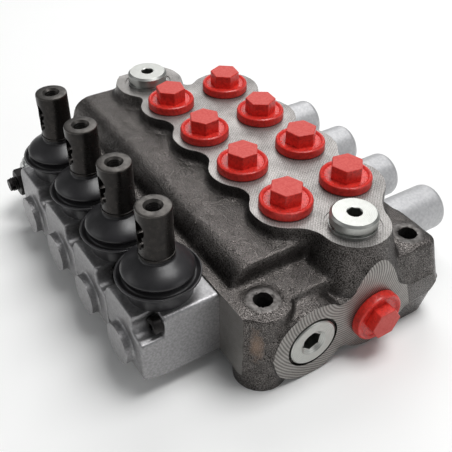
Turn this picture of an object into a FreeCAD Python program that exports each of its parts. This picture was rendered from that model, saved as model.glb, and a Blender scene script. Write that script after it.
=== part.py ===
import FreeCAD, Part
import math
import operator
import os
from types import SimpleNamespace

import Sketcher

# Monoblock control valve with four hand-lever sections.
# X runs along the sections, towards the end with the sunk plug. The levers are on the -Y side and the
# spring caps on the +Y side. Z is up, and the origin lies on the base, midway between the eight ports.

# Driving dimensions: name, value in millimetres or degrees, and what it measures.
DIMENSIONS = (
    ("pitch", 35, "from one section to the next"),
    ("port_row", 17, "from the middle to each row of work ports"),
    ("deck_level", 60, "height of the machined deck"),
    ("ridge_level", 53, "height of the rounded ridge beside the deck"),
    ("ledge_level", 43.5, "height of the ears and of the front flange"),
    ("axis_level", 20.6, "height of the spools and of the parting line"),
    ("front_face", 62.5, "from the middle to the machined front face"),
    ("rear_face", 45, "from the middle to the machined rear face"),
    ("end_face", 97, "from the middle to the machined pads of both ends"),
    ("core_half", 88, "from the middle to the ends of the block between the pads"),
    ("draft", 14, "slope of the cast walls, in degrees"),
    ("front_lobe_radius", 16.4, "deck round a front port"),
    ("rear_lobe_radius", 18.9, "deck round a rear port"),
    ("front_valley", 9.2, "radius between two front lobes"),
    ("rear_valley", 6.7, "radius between two rear lobes"),
    ("near_front_valley", 14, "radius between the near lobe and the front row"),
    ("near_rear_valley", 25, "radius between the near lobe and the rear row"),
    ("far_front_valley", 5, "radius between the far lobe and the front row"),
    ("far_rear_valley", 3.5, "radius between the far lobe and the rear row"),
    ("near_lobe_x", 78.5, "centre of the near lobe"),
    ("near_lobe_y", 0.5, "centre of the near lobe"),
    ("near_lobe_radius", 16.3, "deck at the near lobe"),
    ("far_lobe_x", 82.5, "centre of the far lobe"),
    ("far_lobe_y", 14.8, "centre of the far lobe"),
    ("far_lobe_radius", 18.4, "deck at the far lobe"),
    ("ear_x", 83, "from the middle to the mounting holes"),
    ("front_ear_y", 49.5, "from the middle to the hole in the round ear"),
    ("rear_ear_y", 30.8, "from the middle to the holes in the square ears"),
    ("ear_hole", 4.25, "radius of the mounting holes"),
    ("ear_boss", 7.6, "radius of the raised ring round a mounting hole"),
    ("round_ear", 12.5, "radius of the round ear"),
    ("square_ear", 98, "from the middle to the outer side of the square ears"),
    ("ear_round", 9, "radius of the square ears' corners"),
    ("ear_draft", 12, "slope of the square ears, in degrees"),
    ("spool_radius", 7.95, "radius of a spool"),
    ("spool_bore", 8, "radius of a spool's bore"),
    ("gallery_y", 2, "middle of the gallery and of the side ports"),
    ("check_y", 32, "from the middle to the axis of the load check valve"),
    ("lever_y", 81.5, "from the middle to the levers"),
    ("pivot_level", 38.6, "height of the levers' pivots"),
    ("pin_radius", 2.5, "radius of a pivot pin"),
    ("box_half", 17.3, "half the width of a lever box"),
    ("box_bottom", 8.5, "height of the underside of a lever box"),
    ("box_top", 42.5, "height of the top of a lever box"),
    ("box_end", 100, "from the middle to the front of a lever box"),
    ("socket_radius", 7.55, "radius of a lever's socket"),
    ("socket_bottom", 63.2, "height of the lower end of a socket"),
    ("socket_top", 86.5, "height of the top of a socket"),
    ("stem_radius", 5.5, "radius of a lever's stem"),
    ("cap_radius", 12.1, "radius of a spring cap"),
    ("cap_end", 80, "from the middle to the end of a spring cap"),
    ("flange_radius", 12.3, "radius of a work port's closure"),
    ("closure_height", 11.2, "from the deck to the top of a work port's closure"),
    ("closure_flats", 14.6, "across the flats of a work port's closure"),
    ("side_flange_radius", 12.6, "radius of a side port's closure"),
    ("side_closure_height", 9, "from the end's pad to the top of a side port's closure"),
    ("side_closure_flats", 14.2, "across the flats of a side port's closure"),
    ("port_radius", 7.6, "radius of a work port"),
    ("side_port_radius", 9.6, "radius of a side port"),
    ("steel_plug_radius", 10.7, "radius of the collar of an upper plug"),
    ("relief_x", 84, "from the middle to the relief valve"),
    ("relief_flats", 21.5, "across the flats of the relief valve's cartridge"),
    ("screw_head", 4.25, "radius of the head of a small screw"),
    ("screw_shank", 2.5, "radius of the shank of a small screw"),
    ("spring_mean", 7.2, "mean radius of a centring spring"),
    ("wire", 1, "radius of its wire"),
)

document = FreeCAD.newDocument("control_valve")
sheet = document.addObject("Spreadsheet::Sheet", "dims")
for row, (alias, number, meaning) in enumerate(DIMENSIONS, start=1):
    sheet.set("A%d" % row, meaning)
    sheet.set("B%d" % row, str(number))
    sheet.setAlias("B%d" % row, alias)
document.recompute()


class Size:
    """A length or an angle, with the formula of sheet cells that it is worked out from."""

    def __init__(self, value, formula):
        self.value = value
        self.formula = formula

    def __add__(self, other):
        return combined(self, "+", other)

    def __radd__(self, other):
        return combined(other, "+", self)

    def __sub__(self, other):
        return combined(self, "-", other)

    def __rsub__(self, other):
        return combined(other, "-", self)

    def __mul__(self, other):
        return combined(self, "*", other)

    def __rmul__(self, other):
        return combined(other, "*", self)

    def __truediv__(self, other):
        return combined(self, "/", other)

    def __neg__(self):
        return combined(0, "-", self)

    def __abs__(self):
        return Size(abs(self.value), "abs(%s)" % self.formula)


OPERATORS = {"+": operator.add, "-": operator.sub, "*": operator.mul, "/": operator.truediv}


def as_size(number):
    """A plain number as a Size; a Size as it is."""
    return number if isinstance(number, Size) else Size(float(number), "(%s)" % number)


def combined(first, sign, second):
    first, second = as_size(first), as_size(second)
    value = OPERATORS[sign](first.value, second.value)
    return Size(value, "(%s %s %s)" % (first.formula, sign, second.formula))


def cosine(angle):
    angle = as_size(angle)
    return Size(math.cos(math.radians(angle.value)), "cos(%s)" % angle.formula)


def sine(angle):
    angle = as_size(angle)
    return Size(math.sin(math.radians(angle.value)), "sin(%s)" % angle.formula)


def tangent(angle):
    return sine(angle) / cosine(angle)


dim = SimpleNamespace(**{alias: Size(float(number), "dims." + alias) for alias, number, _ in DIMENSIONS})


def bind(thing, path, size):
    """Drive one property of an object by a Size."""
    thing.setExpression(path, as_size(size).formula)


def new_body(label, x=0, y=0, z=0, turn=0):
    """A sub-part, placed at (x, y, z) and turned about the upright through that point."""
    body = document.addObject("PartDesign::Body", label)
    body.Label = label
    for path, size in (("Base.x", x), ("Base.y", y), ("Base.z", z), ("Rotation.Angle", turn)):
        bind(body, "Placement." + path, size)
    return body


def add_sketch(body, role, across=0, up=0, along=0):
    """A sketch on one of the body's origin planes, moved in that plane and along its normal."""
    support = next(item for item in body.Origin.OriginFeatures if item.Role == role)
    sketch = body.newObject("Sketcher::SketchObject", body.Name + "_sketch")
    sketch.AttachmentSupport = (support, "")
    sketch.MapMode = "FlatFace"
    for axis, size in (("x", across), ("y", up), ("z", along)):
        bind(sketch, "AttachmentOffset.Base." + axis, size)
    return sketch


def fix(sketch, curve, point, x, y):
    """Hold one point of a curve at (x, y) from the sketch's origin."""
    for kind, axis, size in (("DistanceX", -2, as_size(x)), ("DistanceY", -1, as_size(y))):
        if abs(size.value) < 1e-9:
            sketch.addConstraint(Sketcher.Constraint("PointOnObject", curve, point, axis))
            continue
        index = sketch.addConstraint(Sketcher.Constraint(kind, -1, 1, curve, point, size.value))
        bind(sketch, "Constraints[%d]" % index, size)


def fix_radius(sketch, curve, radius):
    radius = as_size(radius)
    index = sketch.addConstraint(Sketcher.Constraint("Radius", curve, radius.value))
    bind(sketch, "Constraints[%d]" % index, radius)


def circle(sketch, x, y, radius):
    x, y, radius = as_size(x), as_size(y), as_size(radius)
    centre = FreeCAD.Vector(x.value, y.value, 0)
    curve = sketch.addGeometry(Part.Circle(centre, FreeCAD.Vector(0, 0, 1), radius.value), False)
    fix(sketch, curve, 3, x, y)
    fix_radius(sketch, curve, radius)


def direction(vector):
    return math.atan2(vector.y, vector.x)


def arc_about(centre, radius, first, second):
    """The arc that runs anticlockwise from one direction to another."""
    while second < first:
        second += 2 * math.pi
    return Part.ArcOfCircle(Part.Circle(centre, FreeCAD.Vector(0, 0, 1), radius), first, second)


def stretch(start, end, radius):
    """One stretch of an outline: the curve, and the numbers of its first and last points."""
    if radius is None:
        return Part.LineSegment(start, end), 1, 2
    half = (end - start) * 0.5
    rise = math.sqrt(max(0, radius.value ** 2 - half.Length ** 2))
    turn = math.copysign(1, radius.value)
    left = FreeCAD.Vector(-half.y, half.x, 0).normalize()
    centre = start + half + left * rise * turn
    from_start, from_end = direction(start - centre), direction(end - centre)
    if turn > 0:
        return arc_about(centre, abs(radius.value), from_start, from_end), 1, 2
    return arc_about(centre, abs(radius.value), from_end, from_start), 2, 1


def outline(sketch, corners):
    """Draw a closed outline. A corner is (x, y), or (x, y, radius) where an arc of that radius comes in:
    anticlockwise for a positive radius, clockwise for a negative one."""
    places = [FreeCAD.Vector(as_size(corner[0]).value, as_size(corner[1]).value, 0) for corner in corners]
    radii = [as_size(corner[2]) if len(corner) > 2 else None for corner in corners]
    stretches = [stretch(places[index - 1], places[index], radii[index]) for index in range(len(corners))]
    curves = [sketch.addGeometry(curve, False) for curve, _, _ in stretches]
    for index, corner in enumerate(corners):
        following = (index + 1) % len(corners)
        here, there = stretches[index][2], stretches[following][1]
        joint = Sketcher.Constraint("Coincident", curves[index], here, curves[following], there)
        sketch.addConstraint(joint)
        fix(sketch, curves[index], here, corner[0], corner[1])
        if radii[index]:
            fix_radius(sketch, curves[index], abs(radii[index]))


def box_outline(sketch, left, low, right, high):
    outline(sketch, [(left, low), (right, low), (right, high), (left, high)])


def feature(body, kind, sketch, **settings):
    item = body.newObject("PartDesign::" + kind, "%s_%s" % (body.Name, kind.lower()))
    item.Profile = sketch
    for name, value in settings.items():
        setattr(item, name, value)
    return item


def pad(body, sketch, length, **settings):
    item = feature(body, "Pad", sketch, **settings)
    bind(item, "Length", length)
    return item


def pocket(body, sketch, length, **settings):
    """Cut a sketch into the body, and make sure that the cut takes something away."""
    document.recompute()
    before = body.Shape.Volume
    item = feature(body, "Pocket", sketch, **settings)
    bind(item, "Length", length)
    document.recompute()
    if body.Shape.Volume >= before - 1e-6:
        raise RuntimeError("%s cuts nothing" % item.Name)
    return item


def turned(body, sketch, axis="V_Axis"):
    """Revolve a sketch about its upright axis, or about its level one."""
    item = feature(body, "Revolution", sketch, Angle=360)
    item.ReferenceAxis = (sketch, [axis])
    return item


def hexagon(sketch, across_flats, first=30):
    """A regular hexagon about the sketch's origin; `first` is the direction of its first corner."""
    corner_radius = as_size(across_flats) / (2 * math.cos(math.pi / 6))
    angles = [first + 60 * number for number in range(6)]
    outline(sketch, [(corner_radius * cosine(angle), corner_radius * sine(angle)) for angle in angles])


def slot(sketch, middle, reach, radius):
    """A slot along the sketch's upright axis; its round ends are centred at middle - reach and + reach."""
    middle, radius = as_size(middle), as_size(radius)
    low = FreeCAD.Vector(0, (middle - reach).value, 0)
    high = FreeCAD.Vector(0, (middle + reach).value, 0)
    aside = FreeCAD.Vector(radius.value, 0, 0)
    top = sketch.addGeometry(arc_about(high, radius.value, 0, math.pi), False)
    left = sketch.addGeometry(Part.LineSegment(high - aside, low - aside), False)
    bottom = sketch.addGeometry(arc_about(low, radius.value, math.pi, 2 * math.pi), False)
    right = sketch.addGeometry(Part.LineSegment(low + aside, high + aside), False)
    ring = (top, left, bottom, right)
    for curve, following in zip(ring, ring[1:] + ring[:1]):
        sketch.addConstraint(Sketcher.Constraint("Tangent", curve, 2, following, 1))
    fix(sketch, top, 3, 0, middle + reach)
    fix(sketch, bottom, 3, 0, middle - reach)
    fix_radius(sketch, top, radius)


def group(label, members):
    """Several like solids that make one node."""
    item = document.addObject("Part::Compound", label)
    item.Label = label
    item.Links = members
    return item


def section_x(number):
    """Place of section 1 to 4 along the valve; section 1 is the far one."""
    return dim.pitch * (number - 2.5)


SECTIONS = range(1, 5)

# Shared places, from the middle or from a section's axis.
SCREW_SEAT = as_size(88.9)
SCREW_X = 13.3
SCREW_Z = 11.5
HEAD_HEIGHT = as_size(5)
PIN_LENGTH = as_size(20.6)
SEAL_POCKET = 10.4
LUG = 12
UPPER_PORT = 8.4
NEAR_UPPER_PORT = (dim.near_lobe_x + 0.5, -dim.near_lobe_y)
FAR_UPPER_PORT = (-dim.far_lobe_x + 0.5, -dim.far_lobe_y - 1)
SPRING_START = dim.rear_face - 1.5
SPRING_END = dim.rear_face + 19


def lobed_outline(sketch, lobes):
    """Draw a ring of outward lobes (x, y, radius, radius of the hollow after it), anticlockwise, with the
    hollows tangent to the lobes at both ends."""
    centres = [FreeCAD.Vector(as_size(x).value, as_size(y).value, 0) for x, y, _, _ in lobes]
    radii = [radius.value for _, _, radius, _ in lobes]
    hollows = []
    for index, (_, _, _, hollow) in enumerate(lobes):
        following = (index + 1) % len(lobes)
        span = centres[following] - centres[index]
        first, second = radii[index] + hollow.value, radii[following] + hollow.value
        reach = (first ** 2 - second ** 2 + span.Length ** 2) / (2 * span.Length)
        ahead = FreeCAD.Vector(span).normalize()
        outward = FreeCAD.Vector(ahead.y, -ahead.x, 0)
        hollows.append(centres[index] + ahead * reach + outward * math.sqrt(first ** 2 - reach ** 2))
    lobe_arcs, hollow_arcs = [], []
    for index, (_, _, radius, hollow) in enumerate(lobes):
        following = (index + 1) % len(lobes)
        start = direction(hollows[index - 1] - centres[index])
        end = direction(hollows[index] - centres[index])
        lobe_arcs.append(sketch.addGeometry(arc_about(centres[index], radius.value, start, end), False))
        start = direction(centres[following] - hollows[index])
        end = direction(centres[index] - hollows[index])
        hollow_arcs.append(sketch.addGeometry(arc_about(hollows[index], hollow.value, start, end), False))
    for index, (x, y, radius, hollow) in enumerate(lobes):
        following = (index + 1) % len(lobes)
        leaving = Sketcher.Constraint("Tangent", lobe_arcs[index], 2, hollow_arcs[index], 2)
        arriving = Sketcher.Constraint("Tangent", hollow_arcs[index], 1, lobe_arcs[following], 1)
        sketch.addConstraint([leaving, arriving])
        fix(sketch, lobe_arcs[index], 3, x, y)
        fix_radius(sketch, lobe_arcs[index], radius)
        fix_radius(sketch, hollow_arcs[index], hollow)


def disc_pads(body, role, along, length, discs, **settings):
    """Round bosses (x, y, radius) of one height on one plane, each a pad of its own so that they may meet."""
    for x, y, radius in discs:
        sketch = add_sketch(body, role, along=along)
        circle(sketch, x, y, radius)
        pad(body, sketch, length, **settings)


def holes(body, role, along, length, discs, **settings):
    """Round holes (x, y, radius) of one depth from one plane."""
    sketch = add_sketch(body, role, along=along)
    for x, y, radius in discs:
        circle(sketch, x, y, radius)
    pocket(body, sketch, length, **settings)


def boss_outline():
    """End view of the cast end, as (y, z): two round bosses with a hollow above and below between them,
    and the corner that the parting line makes at the rear."""
    check_radius, port_boss = as_size(20.5), as_size(19.5)

    def on_check(angle):
        return -dim.check_y + check_radius * cosine(angle), dim.axis_level + check_radius * sine(angle)

    def on_port(angle):
        return dim.gallery_y + port_boss * cosine(angle), dim.axis_level + port_boss * sine(angle)

    return [
        (*on_check(310), check_radius),
        (*on_port(230), -5),
        (*on_port(330), port_boss),
        (dim.gallery_y + 28, dim.axis_level),
        (dim.gallery_y + 9, dim.axis_level + 14),
        (dim.gallery_y - 15, dim.axis_level + 17),
        (*on_check(60), -5.5),
        (*on_check(180), check_radius),
    ]


def build_valve_body():
    body = new_body("valve_body")
    wall_slope = tangent(dim.draft)
    ledge_y = dim.rear_face - (dim.ledge_level - dim.axis_level) * wall_slope
    row_x = [section_x(number) for number in SECTIONS]

    # The block between the ends: flat base, front face, and a rear wall that slopes from the parting line.
    sketch = add_sketch(body, "YZ_Plane")
    outline(sketch, [
        (-dim.front_face, dim.box_bottom),
        (-dim.front_face + 13, dim.box_bottom),
        (-dim.front_face + 17, 0),
        (dim.rear_face - dim.axis_level * wall_slope, 0),
        (dim.rear_face, dim.axis_level),
        (ledge_y, dim.ledge_level),
        (-dim.front_face, dim.ledge_level),
    ])
    pad(body, sketch, dim.core_half * 2, Midplane=True)

    # The rounded ridge between the levers and the deck.
    ridge_length = dim.end_face + 70.8
    ridge_round = 10
    sketch = add_sketch(body, "YZ_Plane", along=-dim.end_face)
    ridge_front = -dim.front_face + 5.5
    outline(sketch, [
        (ridge_front, dim.ledge_level - 4),
        (-15, dim.ledge_level - 4),
        (-15, dim.ridge_level),
        (ridge_front + ridge_round, dim.ridge_level),
        (ridge_front, dim.ridge_level - ridge_round, ridge_round),
    ])
    pad(body, sketch, ridge_length)

    # The far front corner, which carries the relief valve.
    sketch = add_sketch(body, "XY_Plane", along=2)
    corner_round = 8
    far_side, near_side = -dim.end_face, -dim.end_face + 30
    outline(sketch, [
        (far_side, -dim.front_face + corner_round),
        (far_side + corner_round, -dim.front_face, corner_round),
        (near_side, -dim.front_face),
        (near_side, -15),
        (far_side, -15),
    ])
    pad(body, sketch, dim.ledge_level - 2)

    # Both ends: bosses round the side ports.
    for along in (-dim.end_face, dim.core_half - 5):
        sketch = add_sketch(body, "YZ_Plane", along=along)
        outline(sketch, boss_outline())
        pad(body, sketch, dim.end_face - dim.core_half + 5)

    # The square ears at the rear, which slope both ways from the parting line.
    for side in (-1, 1):
        for height, flip in ((dim.ledge_level - dim.axis_level, False), (dim.axis_level, True)):
            sketch = add_sketch(body, "XY_Plane", along=dim.axis_level)
            inner, outer = side * (dim.end_face - 36), side * dim.square_ear
            corner_turn = side * dim.ear_round
            corners = [
                (inner, dim.rear_face - 36),
                (outer, dim.rear_face - 36),
                (outer, dim.rear_face - dim.ear_round),
                (outer - corner_turn, dim.rear_face, corner_turn),
                (inner, dim.rear_face),
            ]
            outline(sketch, corners)
            ear = pad(body, sketch, height, Reversed=flip)
            bind(ear, "TaperAngle", -dim.ear_draft)

    # The round ear and its column.
    disc_pads(body, "XY_Plane", 0, dim.ledge_level, [(dim.ear_x, -dim.front_ear_y, dim.round_ear)])

    # The lobes at the ends flare downwards.
    flare_bottom = dim.axis_level
    for x, y, radius in (
        (dim.near_lobe_x, dim.near_lobe_y, dim.near_lobe_radius),
        (-dim.far_lobe_x, -dim.far_lobe_y, dim.far_lobe_radius),
    ):
        sketch = add_sketch(body, "XZ_Plane", across=x, along=-y)
        outline(sketch, [
            (0, flare_bottom),
            (radius + (dim.deck_level - flare_bottom) * wall_slope, flare_bottom),
            (radius, dim.deck_level),
            (0, dim.deck_level),
        ])
        turned(body, sketch)

    # The deck, scalloped round the ports.
    sketch = add_sketch(body, "XY_Plane", along=dim.deck_level)
    front_hollows = [dim.front_valley] * 3 + [dim.near_front_valley]
    rear_hollows = [dim.rear_valley] * 3 + [dim.far_rear_valley]
    lobes = [(x, -dim.port_row, dim.front_lobe_radius, hollow) for x, hollow in zip(row_x, front_hollows)]
    lobes.append((dim.near_lobe_x, dim.near_lobe_y, dim.near_lobe_radius, dim.near_rear_valley))
    lobes += [(x, dim.port_row, dim.rear_lobe_radius, hollow) for x, hollow in zip(row_x[::-1], rear_hollows)]
    lobes.append((-dim.far_lobe_x, -dim.far_lobe_y, dim.far_lobe_radius, dim.far_front_valley))
    lobed_outline(sketch, lobes)
    pad(body, sketch, dim.deck_level - dim.ledge_level + 4, Reversed=True)

    # Round bosses behind the spring caps, on a strip that takes the caps' screws.
    strip_half = dim.pitch * 1.5 + 18.5
    sketch = add_sketch(body, "XZ_Plane", along=-dim.rear_face)
    box_outline(sketch, -strip_half, 2.5, strip_half, dim.axis_level)
    pad(body, sketch, 8, Reversed=False)
    disc_pads(body, "XZ_Plane", -dim.rear_face, 9, [(x, dim.axis_level, 15) for x in row_x])

    # Raised rings round the mounting holes.
    ears = [
        (dim.ear_x, -dim.front_ear_y),
        (dim.ear_x, dim.rear_ear_y),
        (-dim.ear_x, dim.rear_ear_y),
    ]
    disc_pads(body, "XY_Plane", dim.ledge_level - 1, 1.8, [(x, y, dim.ear_boss) for x, y in ears])

    # Both ends are machined flat.
    for side in (-1, 1):
        sketch = add_sketch(body, "YZ_Plane", along=side * dim.end_face)
        box_outline(sketch, -dim.front_face - 1, -1, dim.rear_face + 1, dim.deck_level + 1)
        pocket(body, sketch, 20, Reversed=side > 0)

    # Mounting holes, upper ports, and the work ports with the drillings down to the spools.
    holes(body, "XY_Plane", dim.ledge_level + 1, dim.ledge_level + 2, [(x, y, dim.ear_hole) for x, y in ears])
    upper = (NEAR_UPPER_PORT, FAR_UPPER_PORT)
    port_depth, drilling = 14, 5
    holes(body, "XY_Plane", dim.deck_level, 16, [(x, y, UPPER_PORT) for x, y in upper])
    ports = [(x, side * dim.port_row) for x in row_x for side in (-1, 1)]
    holes(body, "XY_Plane", dim.deck_level, port_depth, [(x, y, dim.port_radius) for x, y in ports])
    holes(body, "XY_Plane", dim.deck_level - port_depth, 24, [(x, y, drilling) for x, y in ports])

    # The spool bores, with a seal pocket at both ends and room for the springs' seats at the rear.
    level = dim.axis_level
    bore_length = dim.front_face + dim.rear_face
    holes(body, "XZ_Plane", dim.front_face, bore_length, [(x, level, dim.spool_bore) for x in row_x])
    holes(body, "XZ_Plane", dim.front_face, 4, [(x, level, SEAL_POCKET) for x in row_x])
    holes(body, "XZ_Plane", -dim.rear_face, 12.5, [(x, level, SEAL_POCKET) for x in row_x], Reversed=True)
    holes(body, "XZ_Plane", -dim.rear_face, 9, [(x, level, 11) for x in row_x], Reversed=True)

    # The gallery along the middle with a threaded port at each end, and the load check valve beside it.
    gallery = [(dim.gallery_y, level, 6.5)]
    holes(body, "YZ_Plane", dim.end_face, dim.end_face * 2, gallery)
    side_port = [(dim.gallery_y, level, dim.side_port_radius)]
    holes(body, "YZ_Plane", dim.end_face, 16, side_port)
    holes(body, "YZ_Plane", -dim.end_face, 16, side_port, Reversed=True)
    counterbore, check_thread, seat = 13.05, 9.5, 6
    for depth, radius in ((3, counterbore), (18, check_thread), (30, seat)):
        holes(body, "YZ_Plane", dim.end_face, depth, [(-dim.check_y, level, radius)])

    # Threaded holes for the screws of the lever boxes and of the caps.
    middle = (dim.box_bottom + dim.box_top) / 2
    thread = dim.screw_shank + 0.1
    box_holes = [(x + side * SCREW_X, middle + side * SCREW_Z, thread) for x in row_x for side in (-1, 1)]
    cap_holes = [(x + side * LUG, level - LUG, thread) for x in row_x for side in (-1, 1)]
    holes(body, "XZ_Plane", dim.front_face, 13, box_holes)
    holes(body, "XZ_Plane", -dim.rear_face, 10, cap_holes, Reversed=True)

    # The relief valve's cavity.
    holes(body, "XZ_Plane", dim.front_face, 22, [(-dim.relief_x, level, 10)])
    return body


def turned_part(label, corners, along, x=0, y=0, z=0, turn=0):
    """A part revolved about X, Y or Z from a half outline of points (distance along that axis, radius)."""
    body = new_body(label, x, y, z, turn)
    sketch = add_sketch(body, "XZ_Plane" if along == "Z" else "XY_Plane")
    if along == "X":
        outline(sketch, corners)
        turned(body, sketch, "H_Axis")
        return body
    outline(sketch, [(corner[1], corner[0], *corner[2:]) for corner in corners])
    turned(body, sketch)
    return body


def build_spool(number):
    front_end = -(dim.lever_y + 9)
    rear_end = dim.rear_face - 3
    tongue = dim.spool_radius - 0.95
    tongue_end = -(dim.lever_y - 11.5)
    groove = dim.spool_radius - 2.45
    corners = [
        (front_end, 0),
        (front_end, tongue - 1),
        (front_end + 1, tongue),
        (tongue_end, tongue),
        (tongue_end, dim.spool_radius),
    ]
    for middle, half in ((-30, 4), (1, 9)):
        corners += [
            (middle - half, dim.spool_radius),
            (middle - half, groove),
            (middle + half, groove),
            (middle + half, dim.spool_radius),
        ]
    corners += [(rear_end, dim.spool_radius), (rear_end, 0)]
    spool = turned_part("spool_%d" % number, corners, "Y", x=section_x(number), z=dim.axis_level)
    # The cross hole for the lever's ball, with a slot above it for the neck.
    hole, slot_floor = 4.15, 1.9
    holes(spool, "XY_Plane", slot_floor, 12, [(0, -dim.lever_y, hole)])
    sketch = add_sketch(spool, "XY_Plane", along=slot_floor)
    slot(sketch, -dim.lever_y, 2.05, hole)
    pocket(spool, sketch, 8, Reversed=True)
    return spool


def build_lever_box(number):
    """The housing of the lever's linkage: a block with one large rounding, two grooves for its screws, a
    boss in line with the spool, and a ring on top that the boot is pulled over."""
    box = new_body("lever_box_%d" % number, x=section_x(number))
    half, low, high, end = dim.box_half, dim.box_bottom, dim.box_top, dim.box_end
    large_round, small_round = 9, 2.5
    sketch = add_sketch(box, "XZ_Plane", along=dim.front_face)
    outline(sketch, [
        (-half, low),
        (half, low),
        (half, high - small_round),
        (half - small_round, high, small_round),
        (-half + large_round, high),
        (-half, high - large_round, large_round),
    ])
    pad(box, sketch, end - dim.front_face)

    # The underside rises to the front.
    slope_length, slope_rise = 11, 2.5
    sketch = add_sketch(box, "YZ_Plane")
    outline(sketch, [(-end + slope_length, low), (-end, low + slope_rise), (-end, low)])
    pocket(box, sketch, 2 * half, Midplane=True)
    disc_pads(box, "XZ_Plane", end, 3.8, [(0, dim.axis_level, 9.5)])
    disc_pads(box, "XY_Plane", high, 3, [(0, -dim.lever_y, 13.5)])

    # The two screw grooves, point-symmetric about the middle of the end, with a round seat for each head.
    middle = (low + high) / 2
    for side in (1, -1):
        sketch = add_sketch(box, "XZ_Plane", along=end + 1)
        points = [(9.9, 21), (9.9, 12), (18.4, 6.2, 9), (18.4, 21)]
        outline(sketch, [
            (side * point[0], middle + side * point[1], *point[2:]) for point in points
        ])
        pocket(box, sketch, end + 1 - SCREW_SEAT)
        x, z = side * SCREW_X, middle + side * SCREW_Z
        holes(box, "XZ_Plane", end, end - SCREW_SEAT, [(x, z, dim.screw_head + 0.3)])
        holes(box, "XZ_Plane", SCREW_SEAT, SCREW_SEAT - dim.front_face, [(x, z, dim.screw_shank + 0.15)])

    # Passage for the spool's end, and the chamber that the lever swings in.
    holes(box, "XZ_Plane", dim.front_face, 34.5, [(0, dim.axis_level, 8.6)], Reversed=True)
    sketch = add_sketch(box, "XY_Plane", along=high + 3)
    box_outline(sketch, -8, -dim.lever_y - 11, 8, -dim.lever_y + 11)
    pocket(box, sketch, high + 3 - dim.axis_level)
    sketch = add_sketch(box, "YZ_Plane")
    circle(sketch, -dim.lever_y, dim.pivot_level, dim.pin_radius)
    pocket(box, sketch, PIN_LENGTH, Midplane=True)
    return box


def build_lever(number):
    """A hand lever: ball, neck, hub on its pivot, stem, and a socket with threaded holes."""
    lever = new_body("control_lever_%d" % number, x=section_x(number), y=-dim.lever_y)
    ball, neck = 4, 2.8
    level = dim.axis_level
    sketch = add_sketch(lever, "XZ_Plane")
    outline(sketch, [
        (0, level - ball),
        (ball, level, ball),
        (neck, level + math.sqrt(ball ** 2 - neck ** 2), ball),
        (neck, dim.pivot_level - 2),
        (dim.stem_radius, dim.pivot_level),
        (dim.stem_radius, dim.socket_bottom),
        (dim.socket_radius + 0.35, dim.socket_bottom),
        (dim.socket_radius + 0.35, dim.socket_bottom + 1),
        (dim.socket_radius, dim.socket_bottom + 1),
        (dim.socket_radius, dim.socket_top - 0.8),
        (dim.socket_radius - 0.8, dim.socket_top),
        (0, dim.socket_top),
    ])
    turned(lever, sketch)
    sketch = add_sketch(lever, "YZ_Plane")
    circle(sketch, 0, dim.pivot_level, 6.5)
    pad(lever, sketch, 15.2, Midplane=True)
    sketch = add_sketch(lever, "YZ_Plane")
    circle(sketch, 0, dim.pivot_level, dim.pin_radius + 0.05)
    pocket(lever, sketch, 16, Midplane=True)
    rod_hole = 3.4
    side_holes = [(0, dim.socket_top - 9.2, rod_hole), (0, dim.socket_top - 15.3, 2.5)]
    holes(lever, "XY_Plane", dim.socket_top, 14, [(0, 0, rod_hole)])
    holes(lever, "XZ_Plane", dim.socket_radius, dim.socket_radius, side_holes)
    return lever


def build_boot(number):
    """A rubber boot from the box's ring up to the lever's stem, pressed flat where two boots meet."""
    ring_top = dim.box_top
    boot = turned_part("lever_boot_%d" % number, [
        (ring_top, 16),
        (ring_top + 8.4, 16),
        (ring_top + 9.2, 18.4),
        (ring_top + 10.7, 18.4),
        (ring_top + 12.2, 16.3),
        (ring_top + 14.3, 15.7),
        (ring_top + 18.3, 7.9),
        (dim.socket_bottom, 7.9),
        (dim.socket_bottom, dim.stem_radius + 0.1),
        (ring_top + 17.2, dim.stem_radius + 0.1),
        (ring_top + 12.5, 14.2),
        (ring_top + 9, 14.2),
        (ring_top + 4, 13.6),
        (ring_top, 13.6),
    ], "Z", x=section_x(number), y=-dim.lever_y)
    flat = dim.pitch / 2 - 0.05
    sketch = add_sketch(boot, "XY_Plane", along=dim.socket_bottom)
    for side in (-1, 1):
        box_outline(sketch, side * flat, -20, side * 20, 20)
    pocket(boot, sketch, dim.socket_bottom - ring_top)
    return boot


def build_pivot_pin(number):
    half = PIN_LENGTH / 2
    corners = [(-half, 0), (half, 0), (half, dim.pin_radius), (-half, dim.pin_radius)]
    return turned_part("pivot_pin_%d" % number, corners, "X", x=section_x(number), y=-dim.lever_y,
                       z=dim.pivot_level)


def build_spring_cap(number):
    """A deep round cap on a flange, with a lug for a screw on both sides below."""
    face, end, radius = dim.rear_face, dim.cap_end, dim.cap_radius
    flange, inner, rim = 4, 10, 2.5
    cap = turned_part("spring_cap_%d" % number, [
        (face, inner),
        (face, radius + 0.9),
        (face + flange, radius + 0.9),
        (face + flange, radius),
        (end - rim, radius),
        (end - rim / 4, radius - rim / 3),
        (end, radius - rim),
        (end, 0),
        (end - 3, 0),
        (end - 3, inner),
    ], "Y", x=section_x(number), z=dim.axis_level)
    for side in (-1, 1):
        sketch = add_sketch(cap, "XZ_Plane", along=-face)
        circle(sketch, side * LUG, -LUG, 5.45)
        pad(cap, sketch, flange + 1, Reversed=True)
    holes(cap, "XZ_Plane", -face, 8, [(side * LUG, -LUG, dim.screw_shank + 0.15) for side in (-1, 1)])
    return cap


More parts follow.
